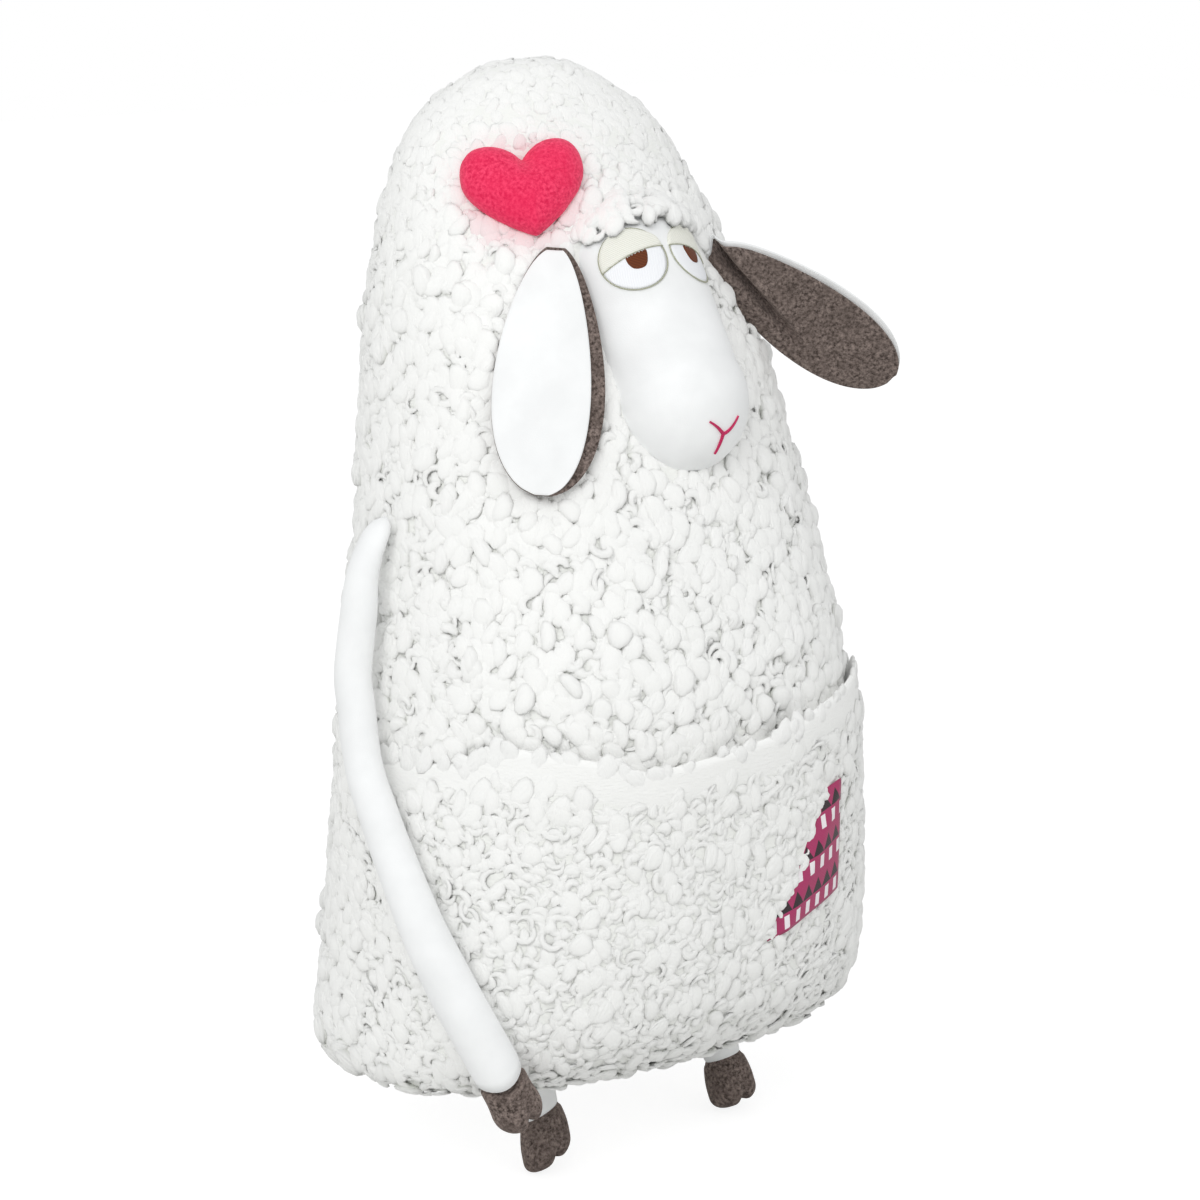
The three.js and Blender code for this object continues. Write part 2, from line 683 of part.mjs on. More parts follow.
addPiece('front_cover', coverPanel(-1), curlyWhite, 0.95);
addPiece('back_cover', coverPanel(1), curlyWhite, 0.95);
addPiece('base_cover', basePanel(), curlyWhite, 0.95);
addPiece('body_filling', bodyFilling(), fibreWhite, 1);
addPiece('pouch_panel_right', pouchPanel(-1), curlyWhite, 0.95);
addPiece('pouch_panel_left', pouchPanel(1), curlyWhite, 0.95);
addPiece('pouch_patch', patchPanel(), patchMagenta, 0.6);
addPiece('face_cover', faceCover(), velourWhite, 0.85);
addPiece('face_filling', faceFilling(), fibreWhite, 1);
addPiece('mouth_stitch', mouthStitch(), mouthPink, 0.6);
addPiece('heart_cover', heartForm(0).subtract(heartForm(heartThickness)).subtract(domeClearance), heartPink, 0.8);
addPiece('heart_filling', heartForm(heartThickness + seamGap).subtract(domeClearance), fibreWhite, 1);

for (const [name, side] of [['right', -1], ['left', 1]]) {
  const eye = eyeParts(side);
  addPiece(`eye_white_${name}`, eye.white, eyeWhite, 0.8);
  addPiece(`eyelid_${name}`, eye.lid, lidCream, 0.8);
  addPiece(`pupil_${name}`, eye.pupil, pupilBrown, 0.5);
  addPiece(`eye_outline_${name}`, eye.outline, rimOlive, 0.6);

  const ear = side < 0 ? rightEarFrame : leftEarFrame;
  addPiece(`ear_outer_${name}`, earPanel(ear, 1), velourWhite, 0.85);
  addPiece(`ear_inner_${name}`, earPanel(ear, -1), hoofBrown, 0.9);

  const arm = armParts(side);
  addPiece(`arm_upper_${name}`, arm.upper, velourWhite, 0.85);
  addPiece(`arm_lower_${name}`, arm.lower, velourWhite, 0.85);
  addPiece(`arm_hoof_${name}`, arm.hoof, hoofBrown, 0.9);

  const leg = legParts(side, side < 0 ? rightLegSwing : leftLegSwing);
  addPiece(`leg_stub_${name}`, leg.stub, velourWhite, 0.85);
  addPiece(`leg_hoof_${name}`, leg.hoof, hoofBrown, 0.9);
}

export default sheep;
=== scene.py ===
import functools
import math
import random

import bmesh
import bpy
import numpy as np
from mathutils import Matrix, Vector
from mathutils.bvhtree import BVHTree


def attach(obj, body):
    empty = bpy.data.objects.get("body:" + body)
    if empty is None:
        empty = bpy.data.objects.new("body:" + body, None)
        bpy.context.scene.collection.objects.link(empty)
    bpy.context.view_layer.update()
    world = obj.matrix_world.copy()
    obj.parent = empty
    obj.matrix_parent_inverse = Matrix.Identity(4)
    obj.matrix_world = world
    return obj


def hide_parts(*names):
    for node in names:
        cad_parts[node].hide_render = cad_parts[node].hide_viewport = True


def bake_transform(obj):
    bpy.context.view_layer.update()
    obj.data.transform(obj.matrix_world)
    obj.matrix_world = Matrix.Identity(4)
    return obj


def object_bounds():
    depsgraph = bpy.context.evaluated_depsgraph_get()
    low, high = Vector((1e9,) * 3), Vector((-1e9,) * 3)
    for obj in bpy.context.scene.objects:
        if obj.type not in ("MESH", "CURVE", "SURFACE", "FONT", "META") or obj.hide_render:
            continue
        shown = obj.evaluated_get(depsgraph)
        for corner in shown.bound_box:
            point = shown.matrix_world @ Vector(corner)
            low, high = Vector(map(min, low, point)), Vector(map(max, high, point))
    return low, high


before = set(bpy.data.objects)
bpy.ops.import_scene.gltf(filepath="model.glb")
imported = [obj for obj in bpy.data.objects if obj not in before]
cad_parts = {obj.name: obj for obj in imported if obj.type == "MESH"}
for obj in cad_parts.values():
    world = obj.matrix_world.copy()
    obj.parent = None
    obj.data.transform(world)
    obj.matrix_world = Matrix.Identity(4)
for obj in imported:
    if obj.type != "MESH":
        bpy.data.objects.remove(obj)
cad_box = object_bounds()

# View and studio
# A long lens looks from 40 degrees to the sheep's right and 12.5 degrees above. The toy stands
# on a pale floor in soft light from the upper left, with the room's white light all round it.
mm = 0.001
scene = bpy.context.scene
camera_place = Vector((-1101.5, -1300.7, 601.3)) * mm
camera_aim = Vector((3.24, -4.0, 223.7)) * mm
camera = bpy.data.objects.new("camera", bpy.data.cameras.new("camera"))
camera.data.lens = 102.08
camera.data.sensor_width = 36
camera.location = camera_place
camera.rotation_euler = (camera_aim - camera_place).to_track_quat("-Z", "Y").to_euler()
scene.collection.objects.link(camera)
scene.camera = camera
scene.view_settings.view_transform = "Standard"


def linear(hex_colour):
    """An sRGB hex colour as linear red, green, blue and alpha."""
    parts = [int(hex_colour[i:i + 2], 16) / 255 for i in (1, 3, 5)]
    return [p / 12.92 if p <= 0.04045 else ((p + 0.055) / 1.055) ** 2.4 for p in parts] + [1.0]


def add_node(tree, kind, options=None, sockets=None):
    """Adds a shader node with its options, and sets its sockets or links them to other nodes."""
    node = tree.nodes.new("ShaderNode" + kind)
    for name, value in (options or {}).items():
        setattr(node, name, value)
    for name, value in (sockets or {}).items():
        if isinstance(value, bpy.types.Node):
            value = value.outputs[0]
        if isinstance(value, bpy.types.NodeSocket):
            tree.links.new(value, node.inputs[name])
        else:
            node.inputs[name].default_value = value
    return node


def mesh_data(name, bm):
    """A bmesh as smooth-shaded mesh data."""
    for face in bm.faces:
        face.smooth = True
    data = bpy.data.meshes.new(name)
    bm.to_mesh(data)
    bm.free()
    return data


def show(name, data):
    """Puts mesh, curve or lamp data into the scene as an object."""
    made = bpy.data.objects.new(name, data)
    scene.collection.objects.link(made)
    return made


def finish_mesh(name, bm):
    """Makes a bmesh an object of the scene."""
    return show(name, mesh_data(name, bm))


floor_height = cad_box[0][2] - 0.3 * mm
floor_reach = 6.0
floor_mesh = bmesh.new()
bmesh.ops.create_grid(floor_mesh, x_segments=1, y_segments=1, size=floor_reach)
bmesh.ops.translate(floor_mesh, verts=floor_mesh.verts, vec=(0, 0, floor_height))
floor = finish_mesh("floor", floor_mesh)

# Painted white studio floor: matt, and seen by the camera as paper white apart from the shadow.
floor_paint = bpy.data.materials.new("white studio floor paint")
floor_paint.use_nodes = True
tree = floor_paint.node_tree
tree.nodes.clear()
rays = add_node(tree, "LightPath")
matt = add_node(tree, "BsdfDiffuse", sockets={"Color": linear("#dededc")})
seen_matt = add_node(tree, "BsdfDiffuse", sockets={"Color": linear("#909090")})
seen_white = add_node(tree, "Emission", sockets={"Color": linear("#ffffff"), "Strength": 0.85})
seen = add_node(tree, "AddShader", sockets={0: seen_matt, 1: seen_white})
both = add_node(tree, "MixShader", sockets={0: rays.outputs["Is Camera Ray"], 1: matt, 2: seen})
add_node(tree, "OutputMaterial", sockets={"Surface": both})
floor.data.materials.append(floor_paint)

# The room: even white light that is a little weaker than the white that the camera sees.
room_light = 0.72
room = bpy.data.worlds.new("white room")
room.use_nodes = True
scene.world = room
tree = room.node_tree
tree.nodes.clear()
rays = add_node(tree, "LightPath")
lit = add_node(tree, "Background", sockets={"Color": linear("#fdfeff"), "Strength": room_light})
seen = add_node(tree, "Background", sockets={"Color": linear("#ffffff"), "Strength": 1.0})
both = add_node(tree, "MixShader", sockets={0: rays.outputs["Is Camera Ray"], 1: lit, 2: seen})
add_node(tree, "OutputWorld", sockets={"Surface": both})

lamp_aim = Vector((0, 0, 0.25))
for name, place, size, power in [
    ("key", (-1.9, -1.2, 1.7), 1.3, 24.0),
    ("fill", (0.9, -2.4, 1.0), 1.6, 5.0),
]:
    lamp = show(name, bpy.data.lights.new(name, "AREA"))
    lamp.data.size = size
    lamp.data.energy = power
    lamp.location = place
    lamp.rotation_euler = (lamp_aim - Vector(place)).to_track_quat("-Z", "Y").to_euler()

# Body covers
# Two halves of white plush, front and back, are sewn together at the side seams and stuffed
# hard into a tall dome. What shows between the curls is their knitted backing.
# Sizes here and below are in mm, with heights from the hem. The rows give the dome's outside,
# from hem to crown: height, half width, front and back.
body_rows = [
    (0, 140.9, -75.0, 94.2), (11.9, 146.0, -90.7, 102.7), (34.8, 143.8, -104.2, 107.0),
    (79.5, 139.4, -110.9, 107.0), (139.2, 135.1, -112.0, 104.9), (198.8, 128.5, -112.0, 103.3),
    (258.4, 119.7, -96.3, 102.2), (318.1, 111.3, -76.7, 103.3), (377.7, 101.0, -52.6, 103.8),
    (427.4, 87.9, -27.4, 101.7), (462.2, 71.1, -6.7, 93.1), (482.1, 48.2, 13.4, 79.7),
    (493.0, 24.8, 28.0, 65.3), (497.0, 0.0, 45.0, 45.0),
]
body_tall = 497
cover_sides = 96
cover_rings = 84
backing_depth = 0.5
# The depth noted on the backing: how much painted shade it takes, 0 for all and 1 for none.
backing_shade = 0.5
backing_thickness = 1.5
seam_foot_y = -4.0
seam_lean = 0.085
brow_swell = 7.0
brow_reach = 16.0
brow_rise = 30.0
brow_back = 20.0
brow_foot_z = 396.0
weld_reach = 0.02


def clamp(value):
    """A value held between 0 and 1."""
    return min(max(value, 0.0), 1.0)


def eased(a, b, c, d, f):
    """A place at a share of the way from b to c, on a smooth curve through all four."""
    bend = (2 * a - 5 * b + 4 * c - d) * f ** 2
    return (2 * b + (c - a) * f + bend + (3 * b - a - 3 * c + d) * f ** 3) / 2


def body_section(share):
    """Height, half width, front and back at a share of the rows, eased between them."""
    last = len(body_rows) - 1
    place = clamp(share) * last
    low = min(int(place), last - 1)
    near = [body_rows[min(max(i, 0), last)] for i in range(low - 1, low + 3)]
    return [eased(*values, place - low) for values in zip(*near)]


def squareness(z):
    """The power that makes the body's oval squarer towards the hem."""
    return 2 / (2.5 - 0.5 * z / body_tall)


def seam_y(z):
    """Where the side seam lies at a height: how far back, in mm."""
    return seam_foot_y + seam_lean * z


def oval_point(section, angle, grow_side=0.0, grow_front=0.0):
    """A point of the body's section, which may be grown at the sides and the front."""
    z, half, front, back = section
    power = squareness(z)
    c, s = math.cos(angle), math.sin(angle)
    across = math.copysign(abs(c) ** power, c) * (max(half, 0) + grow_side)
    reach = (back - front) / 2 + (grow_front if s < 0 else 0)
    along = math.copysign(abs(s) ** power, s) * reach
    return Vector((across, (front + back) / 2 + along, z)) * mm


def body_frame(share, angle):
    """A point on the dome and its outward direction."""
    step = 0.006
    level = body_section(share)
    point = oval_point(level, angle)
    round_it = oval_point(level, angle + step) - oval_point(level, angle - step)
    high, low = body_section(min(share + step, 1)), body_section(max(share - step, 0))
    upward = oval_point(high, angle) - oval_point(low, angle)
    out = round_it.cross(upward)
    return point, out.normalized() if out.length > 1e-12 else Vector((0, 0, 1))


def solid_search(*names):
    """A search tree over the surfaces of these solids."""
    points, faces = [], []
    for name in names:
        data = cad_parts[name].data
        first = len(points)
        points += [v.co.copy() for v in data.vertices]
        faces += [[first + i for i in p.vertices] for p in data.polygons]
    return BVHTree.FromPolygons(points, faces)


face_search = solid_search("face_cover")


def brow_at(point):
    """How far the fur swells out over the top of the face, in metres."""
    height = clamp((point.z / mm - brow_foot_z) / brow_rise)
    if height == 0 or point.y > brow_back * mm:
        return 0.0
    away = face_search.find_nearest(point)[3] / mm
    return brow_swell * mm * height * math.exp(-(away / brow_reach) ** 2)


def body_surface(share, angle, stand):
    """A point that stands off the dome by so many mm, with the brow's swell."""
    point, out = body_frame(share, angle)
    return point + out * (stand * mm + brow_at(point))


def mapped_tube(name, sides, rings, place, capped=True):
    """A closed tube whose points are placed by their angle and their share along it."""
    bm = bmesh.new()
    bmesh.ops.create_cone(bm, cap_ends=capped, segments=sides, radius1=1, radius2=1, depth=1)
    upright = [e for e in bm.edges if abs(e.verts[0].co.z - e.verts[1].co.z) > 0.5]
    bmesh.ops.subdivide_edges(bm, edges=upright, cuts=rings - 1, use_grid_fill=True)
    for v in bm.verts:
        v.co = place(math.atan2(v.co.y, v.co.x), v.co.z + 0.5)
    bmesh.ops.remove_doubles(bm, verts=bm.verts, dist=weld_reach * mm)
    bmesh.ops.recalc_face_normals(bm, faces=bm.faces)
    return finish_mesh(name, bm)


def new_fabric(name, settings):
    """A fabric's material with its even settings, its node tree and its shader."""
    made = bpy.data.materials.new(name)
    made.use_nodes = True
    shader = made.node_tree.nodes["Principled BSDF"]
    for socket, value in settings.items():
        shader.inputs[socket].default_value = value
    return made, made.node_tree, shader


def join_shader(tree, shader, colour, relief):
    """Links a fabric's mixed colour and its relief to its shader."""
    tree.links.new(colour.outputs[2], shader.inputs["Base Color"])
    tree.links.new(relief.outputs[0], shader.inputs["Normal"])


# Curly plush of polyester pile on a knitted back: matt, soft-edged and white, with painted grey-green
# shade deep between the curls. Each curl's fibres run along it, drawn coarser than they are.
curl_white = "#f9f9f7"
curl_shade = "#e7eae0"
curl_mottle = "#e4e6e2"
# Painted reflection: pink light from the heart, painted on the curls right round it.
curl_blush = "#f6cfd6"
curly_plush, tree, shader = new_fabric("curly polyester plush", {
    "Roughness": 0.95, "Specular IOR Level": 0.15, "Sheen Weight": 0.25, "Sheen Roughness": 0.6})
depth, pile, blush, lie = [
    add_node(tree, "Attribute", {"attribute_name": word})
    for word in ("depth", "pile", "blush", "lie")]
coordinates = add_node(tree, "TexCoord")
# Painted shade: by its noted depth, a point low in the pile takes the grey-green curl_shade, one near
# a curl's top curl_white.
lit_share = add_node(tree, "MapRange", {"interpolation_type": "SMOOTHSTEP"}, {
    "Value": depth.outputs["Fac"], "From Min": 0.05, "From Max": 0.7})
base = add_node(tree, "Mix", {"data_type": "RGBA"}, {
    0: lit_share, 6: linear(curl_shade), 7: linear(curl_white)})
mottle = add_node(tree, "TexNoise", sockets={
    "Vector": coordinates.outputs["Object"], "Scale": 55.0, "Detail": 3.0})
mottle_share = add_node(tree, "MapRange", sockets={
    "Value": mottle.outputs["Fac"], "From Min": 0.3, "From Max": 0.7, "To Min": 0.0, "To Max": 0.1})
mottled = add_node(tree, "Mix", {"data_type": "RGBA"}, {
    0: mottle_share, 6: base.outputs[2], 7: linear(curl_mottle)})
# Painted reflected pink light: curls near the heart are multiplied towards curl_blush.
blushed = add_node(tree, "Mix", {"data_type": "RGBA", "blend_type": "MULTIPLY"}, {
    0: blush.outputs["Fac"], 6: mottled.outputs[2], 7: linear(curl_blush)})
strands = add_node(tree, "TexNoise", sockets={
    "Vector": pile.outputs["Vector"], "Scale": 3.0, "Detail": 3.0})
fluff = add_node(tree, "TexNoise", sockets={
    "Vector": coordinates.outputs["Object"], "Scale": 900.0, "Detail": 3.0})
strand_bump = add_node(tree, "Bump", sockets={
    "Height": strands.outputs["Fac"], "Strength": 0.7, "Distance": 1.3 * mm})
fluff_bump = add_node(tree, "Bump", sockets={
    "Height": fluff.outputs["Fac"], "Strength": 0.4, "Distance": 0.5 * mm,
    "Normal": strand_bump})
# Loose fibres scatter light between the curls: each curl is lit in part like the cover it is on.
cover_side = add_node(tree, "VectorTransform", {
    "vector_type": "VECTOR", "convert_from": "OBJECT", "convert_to": "WORLD"}, {
        0: lie.outputs["Vector"]})
cover_part = add_node(tree, "VectorMath", {"operation": "SCALE"}, {0: cover_side, "Scale": 1.0})
soft_side = add_node(tree, "VectorMath", {"operation": "ADD"}, {0: fluff_bump, 1: cover_part})
soft_normal = add_node(tree, "VectorMath", {"operation": "NORMALIZE"}, {0: soft_side})
join_shader(tree, shader, blushed, soft_normal)


def note(data, word, values):
    """Notes a number or a direction for every point of a mesh."""
    values = np.asarray(values, dtype=np.float32)
    kind, field = ("FLOAT", "value") if values.ndim == 1 else ("FLOAT_VECTOR", "vector")
    layer = data.attributes.get(word) or data.attributes.new(word, kind, "POINT")
    layer.data.foreach_set(field, values.ravel())


def noted(data, word, width):
    """What is noted for every point of a mesh, in rows of so many numbers."""
    values = np.empty(len(data.vertices) * width, dtype=np.float32)
    data.attributes[word].data.foreach_get("value" if width == 1 else "vector", values)
    return values.reshape(-1, width)


def brush_level(piece):
    """Notes which way a backing faces and how its short fibres run, level round the toy."""
    note(piece.data, "lie", [v.normal[:] for v in piece.data.vertices])
    spots = [v.co / mm for v in piece.data.vertices]
    note(piece.data, "pile", [(z / 3, (x + y) / 16, (x - y) / 16) for x, y, z in spots])


def backing_halves():
    """The dome's backing, cut in two at the side seams."""
    halves = []
    for name, keep_front in [("front_cover_plush", True), ("back_cover_plush", False)]:
        half = mapped_tube(
            name, cover_sides, cover_rings, lambda a, s: body_surface(s, a, -backing_depth),
            capped=False)
        bm = bmesh.new()
        bm.from_mesh(half.data)
        bmesh.ops.bisect_plane(
            bm, geom=bm.verts[:] + bm.edges[:] + bm.faces[:], plane_co=(0, seam_foot_y * mm, 0),
            plane_no=(0, 1, -seam_lean), clear_outer=keep_front, clear_inner=not keep_front)
        bm.to_mesh(half.data)
        bm.free()
        # The backing takes a middle share of the painted shade between the curls.
        note(half.data, "depth", [backing_shade] * len(half.data.vertices))
        brush_level(half)
        wall = half.modifiers.new("thickness", "SOLIDIFY")
        wall.thickness = backing_thickness * mm
        wall.offset = -1
        half.data.materials.append(curly_plush)
        halves.append(half)
    return halves


front_plush, back_plush = backing_halves()
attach(front_plush, "torso")
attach(back_plush, "torso")
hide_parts("front_cover")
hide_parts("back_cover", "body_filling")

# Base
# A flat oval of the same plush with its pile brushed down. It closes the cover below and is sewn
# in along the hem.
base_height = 4.5
base_inset = 6.5
# The base's noted depth: it takes less painted shade than the backing.
base_shade = 0.75
base_rounding = 1.6


def base_place(angle, share):
    """The base's rim and its underside, which rounds up into the hem."""
    _, half, front, back = body_section(0.0)
    rim = oval_point([0, half - base_inset, front + base_inset, back - base_inset], angle)
    return Vector((rim.x, rim.y, share * base_height * mm))


base_plush = mapped_tube("base_cover_plush", cover_sides, 3, base_place)
rounding = base_plush.modifiers.new("rounding", "BEVEL")
rounding.width = base_rounding * mm
rounding.segments = 2
note(base_plush.data, "depth", [base_shade] * len(base_plush.data.vertices))
brush_level(base_plush)
base_plush.data.materials.append(curly_plush)
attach(base_plush, "torso")
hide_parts("base_cover")

# Curls
# The pile is set in tight curls 8 to 12 mm across: plump commas, spirals, ovals and a few open
# loops, closest on the chest and finer and flatter towards the crown.
curl_width = 11.2
curl_root = 2.4
curl_stand = 5.8
curl_pitch = 5.7
crown_pitch = 5.2
crown_stand = 2.8
curl_tallest = 12.0
face_clearance = 8.0
crown_foot_z = 385.0
crown_rise = 60.0
least_stand = 2.2
seam_groove = 3.5
hem_shaggy = 14.0
hem_taller = 0.35
hem_wider = 0.15
hem_hang = 1.5
row_step = 0.9
seam_top_z = 380.0
face_top_z = 416.0
# How much of the painted shade between the curls is taken off towards the crown.
crown_shade_lift = 0.7
most_tilt = 0.18
most_hang = 0.35
width_spread = (0.74, 1.28)
length_spread = (0.9, 1.25)
height_spread = (0.78, 1.25)
proud_share = 0.07
proud_height = 1.45
pouch_overlap = 20.0
probe_start = 3.0
probe_reach = 14.0
buried_within = 5.5
covered_gap = 0.5
moving_reach = 9.0
moving_gap = 1.0
faces_per_curl = 54
most_faces = 95000
chest_kinds = [0.36, 0.16, 0.42, 0.06]
crown_kinds = [0.35, 0.05, 0.6, 0.0]


def curl_mesh(name, turn, ring, tube, rise, tuck, steps=7, sides=7):
    """A tube that winds about the upright and tucks its thinner tip under, one unit across."""
    bm = bmesh.new()
    bmesh.ops.create_circle(bm, segments=sides, radius=tube)
    bmesh.ops.rotate(bm, verts=bm.verts, matrix=Matrix.Rotation(math.pi / 2, 3, "X"))
    bmesh.ops.translate(bm, verts=bm.verts, vec=(ring, 0, 0))
    bmesh.ops.spin(
        bm, geom=bm.verts[:] + bm.edges[:], cent=(0, 0, 0), axis=(0, 0, 1), angle=turn, steps=steps)
    bmesh.ops.holes_fill(bm, edges=[e for e in bm.edges if e.is_boundary], sides=sides)
    bmesh.ops.recalc_face_normals(bm, faces=bm.faces)
    depths = bm.verts.layers.float.new("depth")
    piles = bm.verts.layers.float_vector.new("pile")
    for v in bm.verts:
        wound = math.atan2(v.co.y, v.co.x) % (2 * math.pi)
        wound = 0.0 if wound > turn + 0.3 else wound
        share = wound / turn
        around = math.atan2(v.co.z, v.co.xy.length - ring)
        swell = 0.72 + 0.38 * math.sin(math.pi * min(share * 1.25, 1))
        girth = tube * swell * (1 - 0.6 * share ** 2.5)
        reach = ring * (1 - 0.3 * share) + girth * math.cos(around)
        arch = 0.35 + 0.65 * math.sin(math.pi * min(0.12 + share * 0.75, 1))
        height = rise * arch - tuck * share ** 2
        height += girth * math.sin(around) * 1.1
        v.co = Vector((reach * math.cos(wound), reach * math.sin(wound), height))
        # Depth, 0 at the curl's foot and 1 at its top, sets how much painted shade a point takes.
        v[depths] = clamp(height / (rise + tube))
        v[piles] = (around * 1.3, share * 1.6, 0)
    return mesh_data(name, bm)


def oval_mesh(name):
    """A plump oval tuft with a dent along one side."""
    bm = bmesh.new()
    bmesh.ops.create_uvsphere(bm, u_segments=9, v_segments=6, radius=1)
    depths = bm.verts.layers.float.new("depth")
    piles = bm.verts.layers.float_vector.new("pile")
    for v in bm.verts:
        around = math.atan2(v.co.x, v.co.z)
        v[piles] = (around * 1.3, v.co.y * 0.8, 0)
        bent = 0.16 * v.co.y ** 2
        groove = math.exp(-((v.co.x - 0.15) / 0.3) ** 2)
        dent = 1 - 0.22 * groove * max(v.co.z, 0) * (1 - v.co.y ** 2)
        v.co = Vector((0.46 * v.co.x + bent, 0.64 * v.co.y, 0.42 + 0.5 * v.co.z * dent))
        # Depth, 0 at the tuft's foot and 1 at its top, sets how much painted shade a point takes.
        v[depths] = clamp(v.co.z / 0.85)
    return mesh_data(name, bm)


curl_kinds = [
    curl_mesh("comma", 3.9, 0.31, 0.27, 0.42, 0.1),
    curl_mesh("spiral", 5.3, 0.36, 0.2, 0.5, 0.12, steps=9, sides=6),
    oval_mesh("tuft"),
    curl_mesh("loop", 4.6, 0.46, 0.13, 0.62, 0.3, steps=8, sides=5),
]
tuft_kind = 2
for template in curl_kinds:
    template.materials.append(curly_plush)


def strew(name, places):
    """Joins a turned and scaled copy of its curl for each place, with what is noted for it."""
    made = []
    for kind, template in enumerate(curl_kinds):
        mine = [place for place in places if place["kind"] == kind]
        if not mine:
            continue
        source = show(name, template)
        copies = source.modifiers.new("copies", "ARRAY")
        copies.count = len(mine)
        copies.use_relative_offset = False
        shown = source.evaluated_get(bpy.context.evaluated_depsgraph_get())
        data = bpy.data.meshes.new_from_object(shown)
        bpy.data.objects.remove(source)
        points = np.empty(len(data.vertices) * 3)
        data.vertices.foreach_get("co", points)
        points = points.reshape(len(mine), -1, 3)
        turns = np.array([place["turn"] for place in mine])
        spots = np.array([place["point"] for place in mine])
        points = np.einsum("nij,nvj->nvi", turns, points) + spots[:, None]
        data.vertices.foreach_set("co", points.ravel())
        each = points.shape[1]
        blushes, shade_lifts, lies = [
            np.repeat(np.array([place[word] for place in mine], dtype=np.float32), each, axis=0)
            for word in ("blush", "lift", "lie")]
        note(data, "blush", blushes)
        note(data, "lie", lies)
        # Each place's shade lift takes part of the painted shade off its curl, drawing its depth
        # towards 1.
        note(data, "depth", noted(data, "depth", 1)[:, 0] * (1 - shade_lifts) + shade_lifts)
        runs = noted(data, "pile", 3)
        runs[:, 2] += np.repeat(np.arange(len(mine), dtype=np.float32) * 3.7, each)
        note(data, "pile", runs)
        data.update()
        made.append(show(name, data))
    with bpy.context.temp_override(active_object=made[0], selected_editable_objects=made):
        bpy.ops.object.join()
    made[0].name = name
    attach(made[0], "torso")
    return made[0]


def strew_bands(name, places):
    """Strews curls as several pieces, band above band, none of them too heavy."""
    places = sorted(places, key=lambda place: place["point"].z)
    bands = math.ceil(len(places) * faces_per_curl / most_faces)
    ends = [round(len(places) * i / bands) for i in range(bands + 1)]
    return [strew(f"{name}_{i + 1}", places[ends[i]:ends[i + 1]]) for i in range(bands)]


chance = random.Random(11)
heart_centre = Vector((-52, -12, 437)) * mm
# The painted pink reflection from the heart: full within blush_reach of its middle, fading out over
# blush_fade.
blush_reach = 26.0
blush_fade = 9.0
most_blush = 0.5
fixed_search = solid_search("face_cover", "heart_cover", "pouch_panel_right", "pouch_panel_left")
moving_search = solid_search(
    "ear_outer_right", "ear_inner_right", "ear_outer_left", "ear_inner_left", "arm_upper_right",
    "arm_lower_right", "arm_hoof_right", "arm_upper_left", "arm_lower_left", "arm_hoof_left")


def curl_place(point, out, kind_chances, width, stand, hang=0.5):
    """One curl's place: its kind, its turned and scaled axes and where it stands."""
    kind = chance.choices(range(len(curl_kinds)), kind_chances)[0]
    down = Vector((0, 0, -1))
    level = down - out * down.dot(out)
    level = level.normalized() if level.length > 0.05 else Vector((1, 0, 0))
    spread = 0.75 if kind == tuft_kind else math.pi
    spin = Matrix.Rotation(chance.uniform(-spread, spread), 3, out)
    along = spin @ level
    tilt = out + along * chance.uniform(-most_tilt, most_tilt)
    tilt += level * hang * chance.uniform(0, most_hang)
    tilt.normalize()
    across = along.cross(tilt).normalized()
    along = tilt.cross(across)
    chance.choice((-1, 1))  # Not used. The draw keeps every later curl as it is.
    wide = width * chance.uniform(*width_spread)
    deep = width * chance.uniform(*length_spread)
    away = (point - heart_centre).length / mm
    return {
        "kind": kind, "turn": Matrix((across * wide, along * deep, tilt * stand)).transposed() * mm,
        "point": point, "blush": most_blush * max(0.0, 1 - max(away - blush_reach, 0) / blush_fade),
        "lift": 0.0, "lie": tuple(out),
    }


def run_lengths(points):
    """How far along a line each of its points lies."""
    return np.concatenate([[0], np.cumsum(np.linalg.norm(np.diff(points, axis=0), axis=1))])


def ring_angles(section, pitch, start=0.0, end=2 * math.pi):
    """Angles round a section that lie about a pitch apart along it."""
    angles = np.linspace(start, end, 241)
    lengths = run_lengths(np.array([oval_point(section, a) for a in angles]))
    count = max(int(lengths[-1] / (pitch * mm)), 3)
    shift = chance.uniform(0, 1)
    return np.interp((np.arange(count) + shift) / count * lengths[-1], lengths, angles)


def mouth_height(x):
    """The height of the pouch's edge above the hem at a place across it, in mm."""
    spots = [-175, -139, -114, -88, -61, -22, 18, 53, 91, 131, 175]
    rises = [163.0, 163.9, 180.1, 174.7, 166.6, 170.2, 174.7, 182.8, 188.2, 182.8, 179.2]
    return float(np.interp(x, spots, rises))


